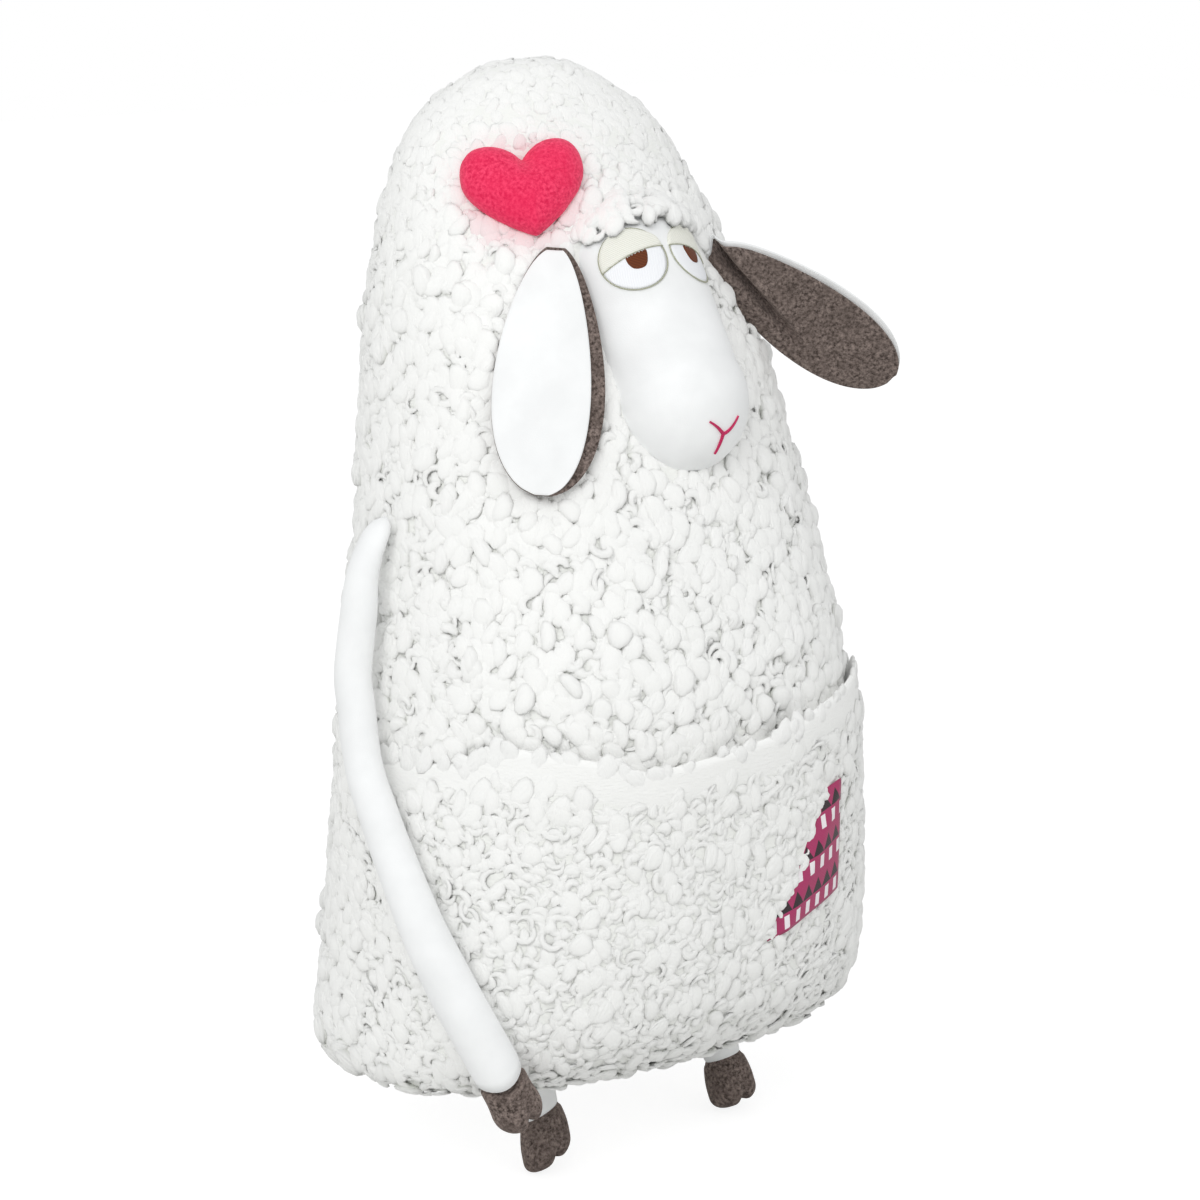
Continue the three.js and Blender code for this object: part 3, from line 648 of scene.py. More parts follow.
def body_curls():
    """Places for the curls on the dome, ring by ring from the hem to the crown."""
    places = []
    shares = np.linspace(0, 1, 400)
    spine = np.array([
        (oval_point(body_section(s), 0.0) + oval_point(body_section(s), -math.pi / 2)) / 2
        for s in shares])
    lengths = run_lengths(spine) / mm
    reached = 2.0
    while reached < lengths[-1] - 2:
        share = float(np.interp(reached, lengths, shares))
        section = body_section(share)
        crown = clamp((section[0] - crown_foot_z) / crown_rise)
        pitch = curl_pitch + (crown_pitch - curl_pitch) * crown
        for angle in ring_angles(section, pitch):
            own = min(max(share + chance.uniform(-0.25, 0.25) * pitch / lengths[-1], 0.003), 0.998)
            point, out = body_frame(own, angle + chance.uniform(-0.015, 0.015))
            x, y, z = point / mm
            if y < seam_y(z) and z < mouth_height(x) - pouch_overlap:
                continue
            hit = fixed_search.ray_cast(point - out * probe_start * mm, out, probe_reach * mm)[3]
            if hit is not None and hit / mm < buried_within:
                continue
            room = curl_root + (curl_tallest if hit is None else hit / mm - probe_start - covered_gap)
            near = moving_search.find_nearest(point)[3] / mm
            if near < moving_reach:
                room = min(room, near + curl_root - moving_gap)
            tall = (curl_stand + (crown_stand - curl_stand) * crown) * chance.uniform(*height_spread)
            tall *= proud_height if chance.random() < proud_share else 1.0
            beside_face = face_search.find_nearest(point + out * 2 * mm)[3] / mm
            if beside_face < face_clearance and z < face_top_z:
                tall = min(tall, 0.75 * beside_face)
            if z < seam_top_z:
                tall *= min(1.0, 0.55 + abs(y - seam_y(z)) / (2 * seam_groove))
            tall = max(min(tall, room), least_stand)
            shaggy = max(0.0, 1 - z / hem_shaggy)
            tall *= 1 + hem_taller * shaggy * chance.uniform(0, 1)
            foot = point + out * (brow_at(point) - curl_root * mm)
            place = curl_place(
                foot, out, chest_kinds if crown < 0.5 else crown_kinds,
                curl_width * (1 - 0.2 * crown) * (1 + hem_wider * shaggy), tall,
                hang=0.5 + hem_hang * shaggy)
            place["lift"] = crown_shade_lift * crown
            places.append(place)
        reached += pitch * row_step
    return places


body_places = body_curls()
front_places = [p for p in body_places if p["point"].y < seam_y(p["point"].z / mm) * mm]
back_places = [p for p in body_places if p["point"].y >= seam_y(p["point"].z / mm) * mm]
strew_bands("front_cover_curls", front_places)
strew_bands("back_cover_curls", back_places)

# Pouch
# One panel of the same plush, sewn in at both side seams and the hem. It bows off the belly, and
# its open edge is turned over and brushed smooth, so that the curls start a thumb's width below.
pouch_foot_gap = 0.6
pouch_mouth_gap = 8.0
pouch_deep = 4.5
pouch_side_deep = 3.0
pouch_tall = 172.0
pouch_hem = 3.0
pouch_level = 165
corner_drop = 9.0
# How much of the painted shade is taken off the curls by the pouch's brushed edge.
rim_shade_lift = 0.75
rim_tall = 20.0
rim_fade = 6.0
rim_roll = 4.0
pouch_pitch = 5.1
pouch_kinds = [0.5, 0.3, 0.12, 0.08]
rim_kinds = [0.3, 0, 0.7, 0]
height_shares = np.linspace(0, 1, 500)
height_values = np.array([body_section(s)[0] for s in height_shares])


def section_at(z):
    """The body's section at a height."""
    return body_section(float(np.interp(z, height_values, height_shares)))


def pouch_point(z, angle, grow):
    """A point of the pouch's panel: grow is 0 on its inside and 1 at its outside."""
    gap = pouch_foot_gap + (pouch_mouth_gap - pouch_foot_gap) * min(z / pouch_tall, 1)
    side_grow = pouch_foot_gap + pouch_side_deep * grow
    return oval_point(section_at(z), angle, side_grow, gap + pouch_deep * grow)


def pouch_out(z, angle):
    """The pouch's outward direction."""
    round_it = pouch_point(z, angle + 0.01, 1) - pouch_point(z, angle - 0.01, 1)
    upward = pouch_point(z + 2, angle, 1) - pouch_point(z - 2, angle, 1)
    return round_it.cross(upward).normalized()


def seam_angle(z):
    """How far behind the sides the seam lies at a height."""
    _, _, front, back = section_at(z)
    behind = (seam_y(z) - (front + back) / 2) / ((back - front) / 2)
    return math.copysign(math.asin(min(abs(behind), 1) ** (1 / squareness(z))), behind)


@functools.cache
def level_arcs(z):
    """Angles from the right seam to the left at a height, and how far round each lies."""
    lean = seam_angle(z)
    angles = np.linspace(math.pi - lean, 2 * math.pi + lean, 81)
    return angles, run_lengths(np.array([oval_point(section_at(z), a) for a in angles]))


def arc_angle(z, across):
    """The angle at a share of the way across the panel at a height."""
    angles, lengths = level_arcs(z)
    return float(np.interp(across * lengths[-1], lengths, angles))


def pouch_place(turn, across):
    """The panel's section at a share of the way across: up its outside, over its edge and down."""
    up = 1 - abs(turn / math.pi - 1)
    outside = turn < math.pi
    aside = abs(2 * across - 1)
    top = mouth_height(pouch_point(pouch_level, arc_angle(pouch_level, across), 1).x / mm)
    top -= corner_drop * max(0.0, (aside - 0.93) / 0.07) ** 2
    z = pouch_hem + (top - pouch_hem) * math.sin(up * math.pi / 2)
    below = top - z
    rim = clamp((rim_tall - below) / rim_fade)
    roll = math.sqrt(max(1 - (max(rim_roll - below, 0) / rim_roll) ** 2, 0))
    sewn = clamp((aside - 0.72) / 0.2)
    grow = 0.95 + rim * (0.12 - 0.55 * (1 - roll)) if outside else 0.5 * (1 - roll) - 1.1 * sewn
    return pouch_point(z, arc_angle(round(z), across), grow)


pouch_plush = mapped_tube("pouch_panel_plush", 96, 96, pouch_place)
# The pouch panel's painted shade: a middle share on its backing, little of it on the brushed edge.
belows = [mouth_height(v.co.x / mm) - v.co.z / mm for v in pouch_plush.data.vertices]
note(pouch_plush.data, "depth", [0.5 + 0.45 * clamp((rim_tall - b) / rim_fade) for b in belows])
brush_level(pouch_plush)
pouch_plush.data.materials.append(curly_plush)
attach(pouch_plush, "torso")
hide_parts("pouch_panel_right", "pouch_panel_left")

# The patch in mm, seen from the front: its edges across slope up. Its right half and its foot lie
# on the curls, and its upper left corner sinks into the pile.
patch_wide = 50.0
patch_tall = 58.0
patch_left = 16.0
patch_low = 66.0
patch_slope = 17.0


def patch_share(x, z):
    """Where a place of the pouch lies on the patch: shares across and up it."""
    across = (x - patch_left) / patch_wide
    return across, (z - patch_low - patch_slope * across) / patch_tall


def pouch_curls():
    """Places for the pouch's curls, row by row from the hem to below the brushed edge."""
    places = []
    z = pouch_hem + 1
    while z < 200:
        lean = seam_angle(z)
        section = section_at(z)
        for angle in ring_angles(section, pouch_pitch, math.pi - lean, 2 * math.pi + lean):
            own_z = z + chance.uniform(-2, 2)
            x = oval_point(section, angle).x / mm
            below = mouth_height(x) - own_z
            if below < 1.0 or own_z < 1:
                continue
            across, up = patch_share(x, own_z)
            on_patch = -0.06 < across < 1.05 and -0.06 < up < 1.05
            if on_patch and up < across * 1.2 - 0.03:
                continue
            point, out = pouch_point(own_z, angle, 0.4), pouch_out(own_z, angle)
            on_rim = clamp((rim_tall - below) / 8)
            if 5 < below and chance.random() < on_rim * 1.2:
                continue
            tall = curl_stand * chance.uniform(0.85, 1.15) * (1 - 0.4 * on_rim)
            near = moving_search.find_nearest(point)[3] / mm
            if near < moving_reach + 1:
                tall = min(tall, near - 0.5)
            shaggy = max(0.0, 1 - own_z / hem_shaggy)
            tall = max(tall * (1 + hem_taller * shaggy * chance.uniform(0, 1)), least_stand)
            place = curl_place(
                point, out, rim_kinds if on_rim > 0.5 else pouch_kinds,
                curl_width * (0.95 + hem_wider * shaggy), tall, hang=0.5 + hem_hang * shaggy)
            place["lift"] = rim_shade_lift * on_rim
            if below < 8:
                place["lie"] = tuple((out + Vector((0, 0, 1.6))).normalized())
            places.append(place)
        z += pouch_pitch * row_step
    return places


pouch_curl_pieces = strew_bands("pouch_panel_curls", pouch_curls())

# Printed patch
# A small piece of printed satin ribbon, sewn flat on the pouch near its left end. The print is a
# plain pattern on magenta: rows of white bars and, between them, rows of black points.
ribbon, tree, shader = new_fabric("printed polyester satin ribbon", {
    "Roughness": 0.5, "Sheen Weight": 0.15})
places = add_node(tree, "UVMap", {"uv_map": "print"})
axes = add_node(tree, "SeparateXYZ", sockets={0: places})
steps = {"across": axes.outputs["X"], "up": axes.outputs["Y"]}
for step, operation, *values in [
    ("row", "MULTIPLY", "up", 6.0),
    ("row share", "FRACT", "row"),
    ("row number", "FLOOR", "row"),
    ("odd row", "MODULO", "row number", 2.0),
    ("even row", "SUBTRACT", 1.0, "odd row"),
    ("row shift", "MULTIPLY", "row number", 0.37),
    ("bars", "MULTIPLY_ADD", "across", 7.0, "row shift"),
    ("bar share", "FRACT", "bars"),
    ("bar", "COMPARE", "bar share", 0.5, 0.2),
    ("bar height", "COMPARE", "row share", 0.5, 0.34),
    ("whole bar", "MULTIPLY", "bar", "bar height"),
    ("white", "MULTIPLY", "whole bar", "even row"),
    ("wave", "PINGPONG", "across", 0.07),
    ("peaks", "MULTIPLY", "wave", 11.0),
    ("under peaks", "LESS_THAN", "row share", "peaks"),
    ("black", "MULTIPLY", "under peaks", "odd row"),
]:
    sockets = {i: steps.get(value, value) for i, value in enumerate(values)}
    steps[step] = add_node(tree, "Math", {"operation": operation}, sockets)
grounded = add_node(tree, "Mix", {"data_type": "RGBA"}, {
    0: steps["white"], 6: linear("#a8285f"), 7: linear("#efe9ec")})
printed = add_node(tree, "Mix", {"data_type": "RGBA"}, {
    0: steps["black"], 6: grounded.outputs[2], 7: linear("#2a171f")})
weave = add_node(tree, "TexWave", {"wave_type": "BANDS", "bands_direction": "DIAGONAL"}, {
    "Vector": places, "Scale": 26.0, "Distortion": 0.6})
weave_bump = add_node(tree, "Bump", sockets={
    "Height": weave.outputs["Fac"], "Strength": 0.25, "Distance": 0.2 * mm})
join_shader(tree, shader, printed, weave_bump)
ribbon_thickness = 0.45


def raise_skin(bm):
    """Gives a flat mesh a second skin over its first, and gives back the new one's points."""
    raised = bmesh.ops.extrude_face_region(bm, geom=bm.faces[:])["geom"]
    return {g for g in raised if isinstance(g, bmesh.types.BMVert)}


def patch_mesh():
    """The patch laid over the pouch: proud of the curls outside, sunk among them inside."""
    bm = bmesh.new()
    bmesh.ops.create_grid(bm, x_segments=26, y_segments=30, size=0.5, calc_uvs=True)
    top = raise_skin(bm)
    print_uv = bm.loops.layers.uv.new("print")
    for face in bm.faces:
        for loop in face.loops:
            loop[print_uv].uv = (loop.vert.co.x + 0.5, loop.vert.co.y + 0.5)
    for v in bm.verts:
        across, up = v.co.x + 0.5, v.co.y + 0.5
        x = patch_left + patch_wide * across
        z = patch_low + patch_slope * across + patch_tall * up
        visible = clamp((1.22 * across - up) * 2.4 + 0.4)
        half = section_at(z)[1] + pouch_foot_gap
        angle = 2 * math.pi - math.acos(min(x / half, 1) ** (1 / squareness(z)))
        stand = 0.55 + 1.0 * visible + 0.06 * math.sin(9 * across + 3 * up)
        point = pouch_point(z, angle, stand)
        v.co = point + pouch_out(z, angle) * (ribbon_thickness * mm if v in top else 0)
    bmesh.ops.recalc_face_normals(bm, faces=bm.faces)
    return finish_mesh("pouch_patch_ribbon", bm)


patch = patch_mesh()
patch.data.materials.append(ribbon)
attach(patch, "torso")
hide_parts("pouch_patch")

# Face
# An egg of smooth white velour, longer than it is wide, stuffed and sewn to the front of the
# head. Its muzzle is the narrower end, lower and further out.
forehead = Vector((0, -21.4, 386)) * mm
forehead_radius = 45.0
muzzle = Vector((0, -65.3, 334)) * mm
muzzle_radius = 36.0

# Velour of short, dense polyester pile: matt and even, with a faint bloom at grazing angles.
velour, tree, shader = new_fabric("white polyester velour", {
    "Roughness": 0.9, "Specular IOR Level": 0.2, "Sheen Weight": 0.3, "Sheen Roughness": 0.5})
coordinates = add_node(tree, "TexCoord")
nap = add_node(tree, "TexNoise", sockets={
    "Vector": coordinates.outputs["Object"], "Scale": 1600.0, "Detail": 2.0})
cloud = add_node(tree, "TexNoise", sockets={
    "Vector": coordinates.outputs["Object"], "Scale": 40.0, "Detail": 3.0})
cloud_share = add_node(tree, "MapRange", sockets={
    "Value": cloud.outputs["Fac"], "From Min": 0.35, "From Max": 0.65})
velour_colour = add_node(tree, "Mix", {"data_type": "RGBA"}, {
    0: cloud_share, 6: linear("#f7f8f8"), 7: linear("#f0f1f1")})
nap_bump = add_node(tree, "Bump", sockets={
    "Height": nap.outputs["Fac"], "Strength": 0.25, "Distance": 0.25 * mm})
join_shader(tree, shader, velour_colour, nap_bump)

egg_axis = (forehead - muzzle).normalized()
egg_span = (forehead - muzzle).length / mm
egg_lean = math.asin((forehead_radius - muzzle_radius) / egg_span)
egg_side = Vector((1, 0, 0))
egg_front = egg_side.cross(egg_axis).normalized()


def egg_place(angle, share):
    """A point of the egg by its angle round the axis and its share from chin to crown."""
    turn = -math.pi / 2 + math.pi * share
    if turn < egg_lean:
        centre, radius = muzzle, muzzle_radius
    else:
        centre, radius = forehead, forehead_radius
    out = egg_side * math.cos(angle) + egg_front * math.sin(angle)
    return centre + (out * math.cos(turn) + egg_axis * math.sin(turn)) * radius * mm


face = mapped_tube("face_cover_velour", 64, 56, egg_place)
dome_search = BVHTree.FromObject(front_plush, bpy.context.evaluated_depsgraph_get())
for v in face.data.vertices:
    spot, out, _, away = dome_search.find_nearest(v.co)
    if (v.co - spot).dot(out) < 0 and out.y < 0.2:
        v.co = spot + out * 0.3 * mm
face.data.materials.append(velour)
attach(face, "torso")
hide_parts("face_cover", "face_filling")

# Brow
# The body's fur carries on over the top of the face, down to the eyes. It is the cover's own pile,
# which bulges out above the eyes where the face is sewn in.
brow_line_z = 411.5
brow_pitch = 5.6
brow_width = 10.0
brow_least = 4.5
brow_stand = 9.0
# How much of the painted shade is taken off the brow's curls.
brow_shade_lift = 0.3
brow_kinds = [0.5, 0.1, 0.4, 0]


def brow_curls():
    """Places for the curls on the face's top, ring by ring about its axis."""
    places = []
    for share in np.arange(0.42, 0.99, brow_pitch / (forehead_radius * math.pi)):
        ring = forehead_radius * math.cos(-math.pi / 2 + math.pi * share)
        count = max(int(2 * math.pi * ring / brow_pitch), 3)
        for step in range(count):
            point = egg_place((step + chance.uniform(-0.3, 0.3)) / count * 2 * math.pi, share)
            out = (point - forehead).normalized()
            own_line = brow_line_z + chance.uniform(-1.0, 1.0)
            if point.z / mm < own_line or point.y > 12 * mm:
                continue
            rise = min((point.z / mm - own_line) / 8, 1)
            stand = brow_least + (brow_stand - brow_least) * rise
            place = curl_place(point, out, brow_kinds, brow_width, stand, hang=1.2)
            place["lift"] = brow_shade_lift
            places.append(place)
    return places


strew("front_cover_brow", brow_curls())

# Eyes
# Each is embroidered on the velour: a white field, a cream lid over its upper half, half a brown
# pupil under the lid's edge and a fine olive outline, all in satin stitch.
eye_spacing = 39.0
eye_lift = 20.0
eye_wide = 34.0
eye_tall = 32.0
lid_slope = 0.46
lid_arch = 2.8
pupil_radius = 6.2
pupil_shift = 1.0
outline_girth = 0.34
outline_stand = 0.55
lid_edge_stand = 1.0
view_distance = 90


def stitch_material(name, colour, shade, spacing, angle):
    """Rayon thread in satin stitch: rows of thread a spacing apart, with a soft gloss."""
    made, tree, shader = new_fabric(name, {"Roughness": 0.55, "Specular IOR Level": 0.3})
    places = add_node(tree, "UVMap", {"uv_map": "stitch"})
    turned = add_node(tree, "Mapping", sockets={"Vector": places, "Rotation": (0, 0, angle)})
    rows = add_node(tree, "TexWave", {"wave_type": "BANDS", "bands_direction": "X"}, {
        "Vector": turned, "Scale": 0.314 / spacing, "Distortion": 1.2, "Detail": 2.0,
        "Detail Scale": 1.5})
    tint = add_node(tree, "Mix", {"data_type": "RGBA"}, {
        0: rows.outputs["Fac"], 6: linear(shade), 7: linear(colour)})
    relief = add_node(tree, "Bump", sockets={
        "Height": rows.outputs["Fac"], "Strength": 0.4, "Distance": 0.3 * mm})
    join_shader(tree, shader, tint, relief)
    return made


# Rayon embroidery thread, 0.4 mm: its rows are drawn about 0.8 mm apart so that they show.
white_thread = stitch_material("white embroidery thread", "#fafbfd", "#f1f3f7", 0.8, 0.2)
lid_thread = stitch_material("cream embroidery thread", "#f4f4ec", "#e6e6da", 0.9, 1.2)
pupil_thread = stitch_material("brown embroidery thread", "#7a3a10", "#4a2008", 0.8, 1.4)
olive_thread = stitch_material("olive embroidery thread", "#bcbda8", "#9fa08a", 0.8, 0.0)

face_skin = BVHTree.FromObject(face, bpy.context.evaluated_depsgraph_get())


def facing_frame(centre, outward):
    """A frame that looks outward: columns across, up and out."""
    out = outward.normalized()
    across = Vector((0, 0, 1)).cross(out).normalized()
    return centre, across, out.cross(across), out


def wrap_on(bm, view, skin):
    """Lays a flat mesh, in mm, over a skin: its z becomes the stand above it."""
    centre, across, rise, out = view
    stitches = bm.loops.layers.uv.new("stitch")
    for piece_face in bm.faces:
        for loop in piece_face.loops:
            loop[stitches].uv = loop.vert.co.xy
    for v in bm.verts:
        start = centre + (across * v.co.x + rise * v.co.y + out * view_distance) * mm
        spot, normal, _, _ = skin.ray_cast(start, -out)
        if spot is None:
            spot, normal, _, _ = skin.find_nearest(start - out * 60 * mm)
        v.co = spot + normal * v.co.z * mm
    bmesh.ops.recalc_face_normals(bm, faces=bm.faces)


def round_field(wide, tall, thick, centre=(0, 0), cut=None, segments=26):
    """A low crowned disc of stitches in mm, with the part beyond a cutting line taken off."""
    bm = bmesh.new()
    bmesh.ops.create_grid(bm, x_segments=segments, y_segments=segments, size=1)
    for v in bm.verts:
        x, y = v.co.x, v.co.y
        v.co.x = x * math.sqrt(1 - y * y / 2) * wide / 2 + centre[0]
        v.co.y = y * math.sqrt(1 - x * x / 2) * tall / 2 + centre[1]
    if cut:
        bmesh.ops.bisect_plane(
            bm, geom=bm.verts[:] + bm.edges[:] + bm.faces[:], plane_co=(0, 0, 0),
            plane_no=(*cut, 0), clear_outer=True)
        for v in bm.verts:
            near_cut = max(0.0, 1 - abs(v.co.xy.dot(Vector(cut))) / (0.35 * tall))
            v.co.y += lid_arch * (1 - (2 * v.co.x / eye_wide) ** 2) * near_cut
    rim = {v for e in bm.edges if e.is_boundary for v in e.verts}
    rim_spots = {(round(v.co.x, 4), round(v.co.y, 4)) for v in rim}
    lifted = raise_skin(bm)
    for v in bm.verts:
        on_rim = (round(v.co.x, 4), round(v.co.y, 4)) in rim_spots
        v.co.z = thick * (0.35 if on_rim else 1.0) if v in lifted else -0.3
    return bm


def thread_along(points, girth, name, skin, view, closed=False):
    """A thread that is laid on a skin along points: across, up, stand in mm and girth."""
    centre, across, rise, out = view
    line = bpy.data.curves.new(name, "CURVE")
    line.dimensions = "3D"
    line.bevel_depth = girth * mm
    line.bevel_resolution = 1
    line.use_fill_caps = True
    spline = line.splines.new("POLY")
    spline.points.add(len(points) - 1)
    spline.use_cyclic_u = closed
    for knot, spot in zip(spline.points, points):
        start = centre + (across * spot[0] + rise * spot[1] + out * view_distance) * mm
        hit, normal, _, _ = skin.ray_cast(start, -out)
        knot.co = (*(hit + normal * spot[2] * mm), 1)
        knot.radius = spot[3] if len(spot) > 3 else 1.0
    holder = show(name, line)
    shown = holder.evaluated_get(bpy.context.evaluated_depsgraph_get())
    data = bpy.data.meshes.new_from_object(shown)
    bpy.data.objects.remove(holder)
    made = show(name, data)
    for loop, slot in zip(data.loops, data.uv_layers.new(name="stitch").data):
        spot = data.vertices[loop.vertex_index].co
        slot.uv = (spot.x / mm, spot.z / mm)
    for polygon in data.polygons:
        polygon.use_smooth = True
    return made


for side, name in [(-1, "right"), (1, "left")]:
    eye_out = -math.sqrt(forehead_radius ** 2 - (eye_spacing / 2) ** 2 - eye_lift ** 2)
    view = facing_frame(forehead, Vector((side * eye_spacing / 2, eye_out, eye_lift)))
    below = Vector((side * lid_slope, 1)).normalized()
    pupil_spot = (-side * pupil_shift, pupil_shift * lid_slope)
    fields = [
        ("eye_white", white_thread, "eye_embroidery", round_field(eye_wide - 1, eye_tall - 1, 0.7)),
        ("eyelid", lid_thread, "lid_embroidery",
         round_field(eye_wide + 0.4, eye_tall + 0.4, 1.35, cut=-below)),
        ("pupil", pupil_thread, "pupil_embroidery", round_field(
            2 * pupil_radius, 2 * pupil_radius, 1.05, centre=pupil_spot, cut=below, segments=16)),
    ]
    pieces = []
    for word, thread, slot, field in fields:
        wrap_on(field, view, face_skin)
        stitched = f"{word}_{name}_stitch"
        pieces.append((word, finish_mesh(stitched, field), thread, slot))
    rim = [
        (eye_wide / 2 * math.cos(a), eye_tall / 2 * math.sin(a), outline_stand)
        for a in np.linspace(0, 2 * math.pi, 72, endpoint=False)]
    outline = thread_along(
        rim, outline_girth, f"eye_outline_{name}_thread", face_skin, view, closed=True)
    pieces.append(("eye_outline", outline, olive_thread, "outline_thread"))
    for word, piece, thread, slot in pieces:
        piece.data.materials.append(thread)
        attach(piece, "torso")
        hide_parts(f"{word}_{name}")
    lid_edge = [
        (x, -side * lid_slope * x + lid_arch * (1 - (2 * x / eye_wide) ** 2), lid_edge_stand)
        for x in np.linspace(-eye_wide / 2 * 0.9, eye_wide / 2 * 0.9, 24)]
    edge = thread_along(
        lid_edge, outline_girth * 0.7, f"eyelid_edge_{name}_thread", face_skin, view)
    edge.data.materials.append(olive_thread)
    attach(edge, "torso")

# Nose and mouth
# Three strokes of thick pink thread that meet under the nose, drawn tight so that the velour
# dips along them.
mouth_drop = 11.0
mouth_girth = 0.95
pink_thread = stitch_material("pink embroidery thread", "#e0336c", "#a3174a", 0.7, 0.8)
mouth_out = -math.sqrt(muzzle_radius ** 2 - mouth_drop ** 2)
view = facing_frame(muzzle, Vector((0, mouth_out, -mouth_drop)))
shares = np.linspace(0, 1, 12)
strokes = [
    [(-9.0 * s, 6.6 * s + 0.6 * math.sin(math.pi * s), 0.35, 1 - 0.45 * s) for s in shares],
    [(9.6 * s, 7.4 * s ** 1.7, 0.35, 1 - 0.45 * s) for s in shares],
    [(-0.5 * s, -11.5 * s, 0.35, 1 - 0.35 * s) for s in shares],
]
mouth_parts = [
    thread_along(stroke, mouth_girth, "mouth_stitch_thread", face_skin, view) for stroke in strokes]
with bpy.context.temp_override(active_object=mouth_parts[0], selected_editable_objects=mouth_parts):
    bpy.ops.object.join()
mouth = mouth_parts[0]
mouth.data.materials.append(pink_thread)
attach(mouth, "torso")
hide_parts("mouth_stitch")

# Heart
# Two heart-shaped pieces of pink minky, sewn round their edge, stuffed and stitched to the side
# of the crown. It puffs up from its seam and dips at the notch.
heart_wide = 60.0
heart_tall = 50.0
heart_crown = 13.0
heart_seat = 3.0
heart_slope = 17.0
heart_turn = 0.12
notch_dip = 2.4
notch_spot = 15.0
notch_wide = 3.2
notch_tall = 7.0
heart_spot = Vector((-50, -11, 436)) * mm
heart_facing = Vector((-0.42, -0.76, 0.49))


def speckled_plush(name, speck, patches, patch_part, colours, bump, settings):
    """A pile that lies every way: specks from dark to light, and patches of a third colour."""
    made, tree, shader = new_fabric(name, settings)
    coordinates = add_node(tree, "TexCoord")
    specks, patchy = [
        add_node(tree, "TexNoise", sockets={"Vector": coordinates.outputs["Object"], **kind})
        for kind in (speck, patches)]
    speck_share = add_node(tree, "MapRange", sockets={
        "Value": specks.outputs["Fac"], "From Min": 0.36, "From Max": 0.66})
    patch_share = add_node(tree, "MapRange", sockets={
        "Value": patchy.outputs["Fac"], "From Min": 0.35, **patch_part})
    dark, light, third = (linear(colour) for colour in colours)
    speckled = add_node(tree, "Mix", {"data_type": "RGBA"}, {0: speck_share, 6: dark, 7: light})
    colour = add_node(tree, "Mix", {"data_type": "RGBA"}, {
        0: patch_share, 6: speckled.outputs[2], 7: third})
    relief = add_node(tree, "Bump", sockets={
        "Height": specks.outputs["Fac"], "Strength": bump[0], "Distance": bump[1] * mm})
    join_shader(tree, shader, colour, relief)
    return made


# Minky: dense knitted pile, 2 mm long, that lies every way, so it is speckled light and dark.
minky = speckled_plush(
    "pink minky", {"Scale": 620.0, "Detail": 3.0, "Roughness": 0.65}, {"Scale": 70.0, "Detail": 2.0},
    {"From Max": 0.7, "To Max": 0.5}, ("#d91c4c", "#ff4a72", "#f02c5b"), (0.55, 0.7),
    {"Roughness": 0.9, "Specular IOR Level": 0.15, "Sheen Weight": 0.35,
     "Sheen Tint": linear("#ffb6c8")})


def bezier(a, b, c, d, steps):
    """Points along a cubic curve, without its last."""
    shares = np.linspace(0, 1, steps, endpoint=False)[:, None]
    a, b, c, d = (np.array(p, dtype=float) for p in (a, b, c, d))
    return list(a * (1 - shares) ** 3 + 3 * b * shares * (1 - shares) ** 2
                + 3 * c * shares ** 2 * (1 - shares) + d * shares ** 3)


def heart_outline():
    """The heart's edge in mm, from its notch round the left lobe to the point and back."""
    w, t = heart_wide / 2, heart_tall
    half = bezier((0, 0.3 * t), (0.3 * w, 0.56 * t), (w, 0.62 * t), (w, 0.16 * t), 22)
    half += bezier((w, 0.16 * t), (w, -0.12 * t), (0.36 * w, -0.4 * t), (0, -0.5 * t), 22)
    other = [np.array([-p[0], p[1]]) for p in reversed(half[1:])]
    return half + [np.array([0, -0.5 * t])] + other


def heart_mesh():
    """Rings that shrink to the middle and puff up by their distance from the edge."""
    edge = heart_outline()
    bm = bmesh.new()
    bmesh.ops.create_circle(bm, cap_ends=True, segments=len(edge), radius=1)
    bm.verts.ensure_lookup_table()
    ordered = sorted(bm.verts, key=lambda v: math.atan2(v.co.y, v.co.x) % (2 * math.pi))
    start = min(range(len(ordered)), key=lambda i: abs(ordered[i].co.x) + abs(ordered[i].co.y - 1))
    ordered = ordered[start:] + ordered[:start]
    for v, spot in zip(ordered, [edge[0]] + edge[:0:-1]):
        v.co = (spot[0], spot[1], 0)
    rings = 11
    for _ in range(rings):
        middle_face = [f for f in bm.faces if len(f.verts) > 4]
        bmesh.ops.inset_region(bm, faces=middle_face, thickness=0.0001, use_boundary=True)
    middle = Vector((0, 0.03 * heart_tall, 0))
    levels = {v: 0 for v in ordered}
    found = list(ordered)
    while found:
        nearer = []
        for v in found:
            for e in v.link_edges:
                other = e.other_vert(v)
                if other not in levels:
                    levels[other] = levels[v] + 1
                    nearer.append(other)
        found = nearer
    outline = np.array(edge)
    for v, level in levels.items():
        share = 1 - (level / (rings + 0.6)) ** 1.25
        flat = middle + (v.co - middle) * share
        v.co = (flat.x, flat.y, 0)
    bmesh.ops.poke(bm, faces=[f for f in bm.faces if len(f.verts) > 4])
    back = bmesh.ops.duplicate(bm, geom=bm.verts[:] + bm.edges[:] + bm.faces[:])["geom"]
    back_verts = {g for g in back if isinstance(g, bmesh.types.BMVert)}
    for v in bm.verts:
        away = np.min(np.linalg.norm(outline - np.array([v.co.x, v.co.y]), axis=1))
        puff = math.sqrt(max(1 - (1 - min(away / heart_slope, 1)) ** 2, 0))
        aside = (v.co.x / notch_wide) ** 2 + ((v.co.y - notch_spot) / notch_tall) ** 2
        front = heart_seat + (heart_crown - notch_dip * math.exp(-aside)) * puff
        v.co.z = heart_seat * (1 - puff) if v in back_verts else front
    bmesh.ops.remove_doubles(bm, verts=bm.verts, dist=0.2)
    bmesh.ops.recalc_face_normals(bm, faces=bm.faces)
    return bm


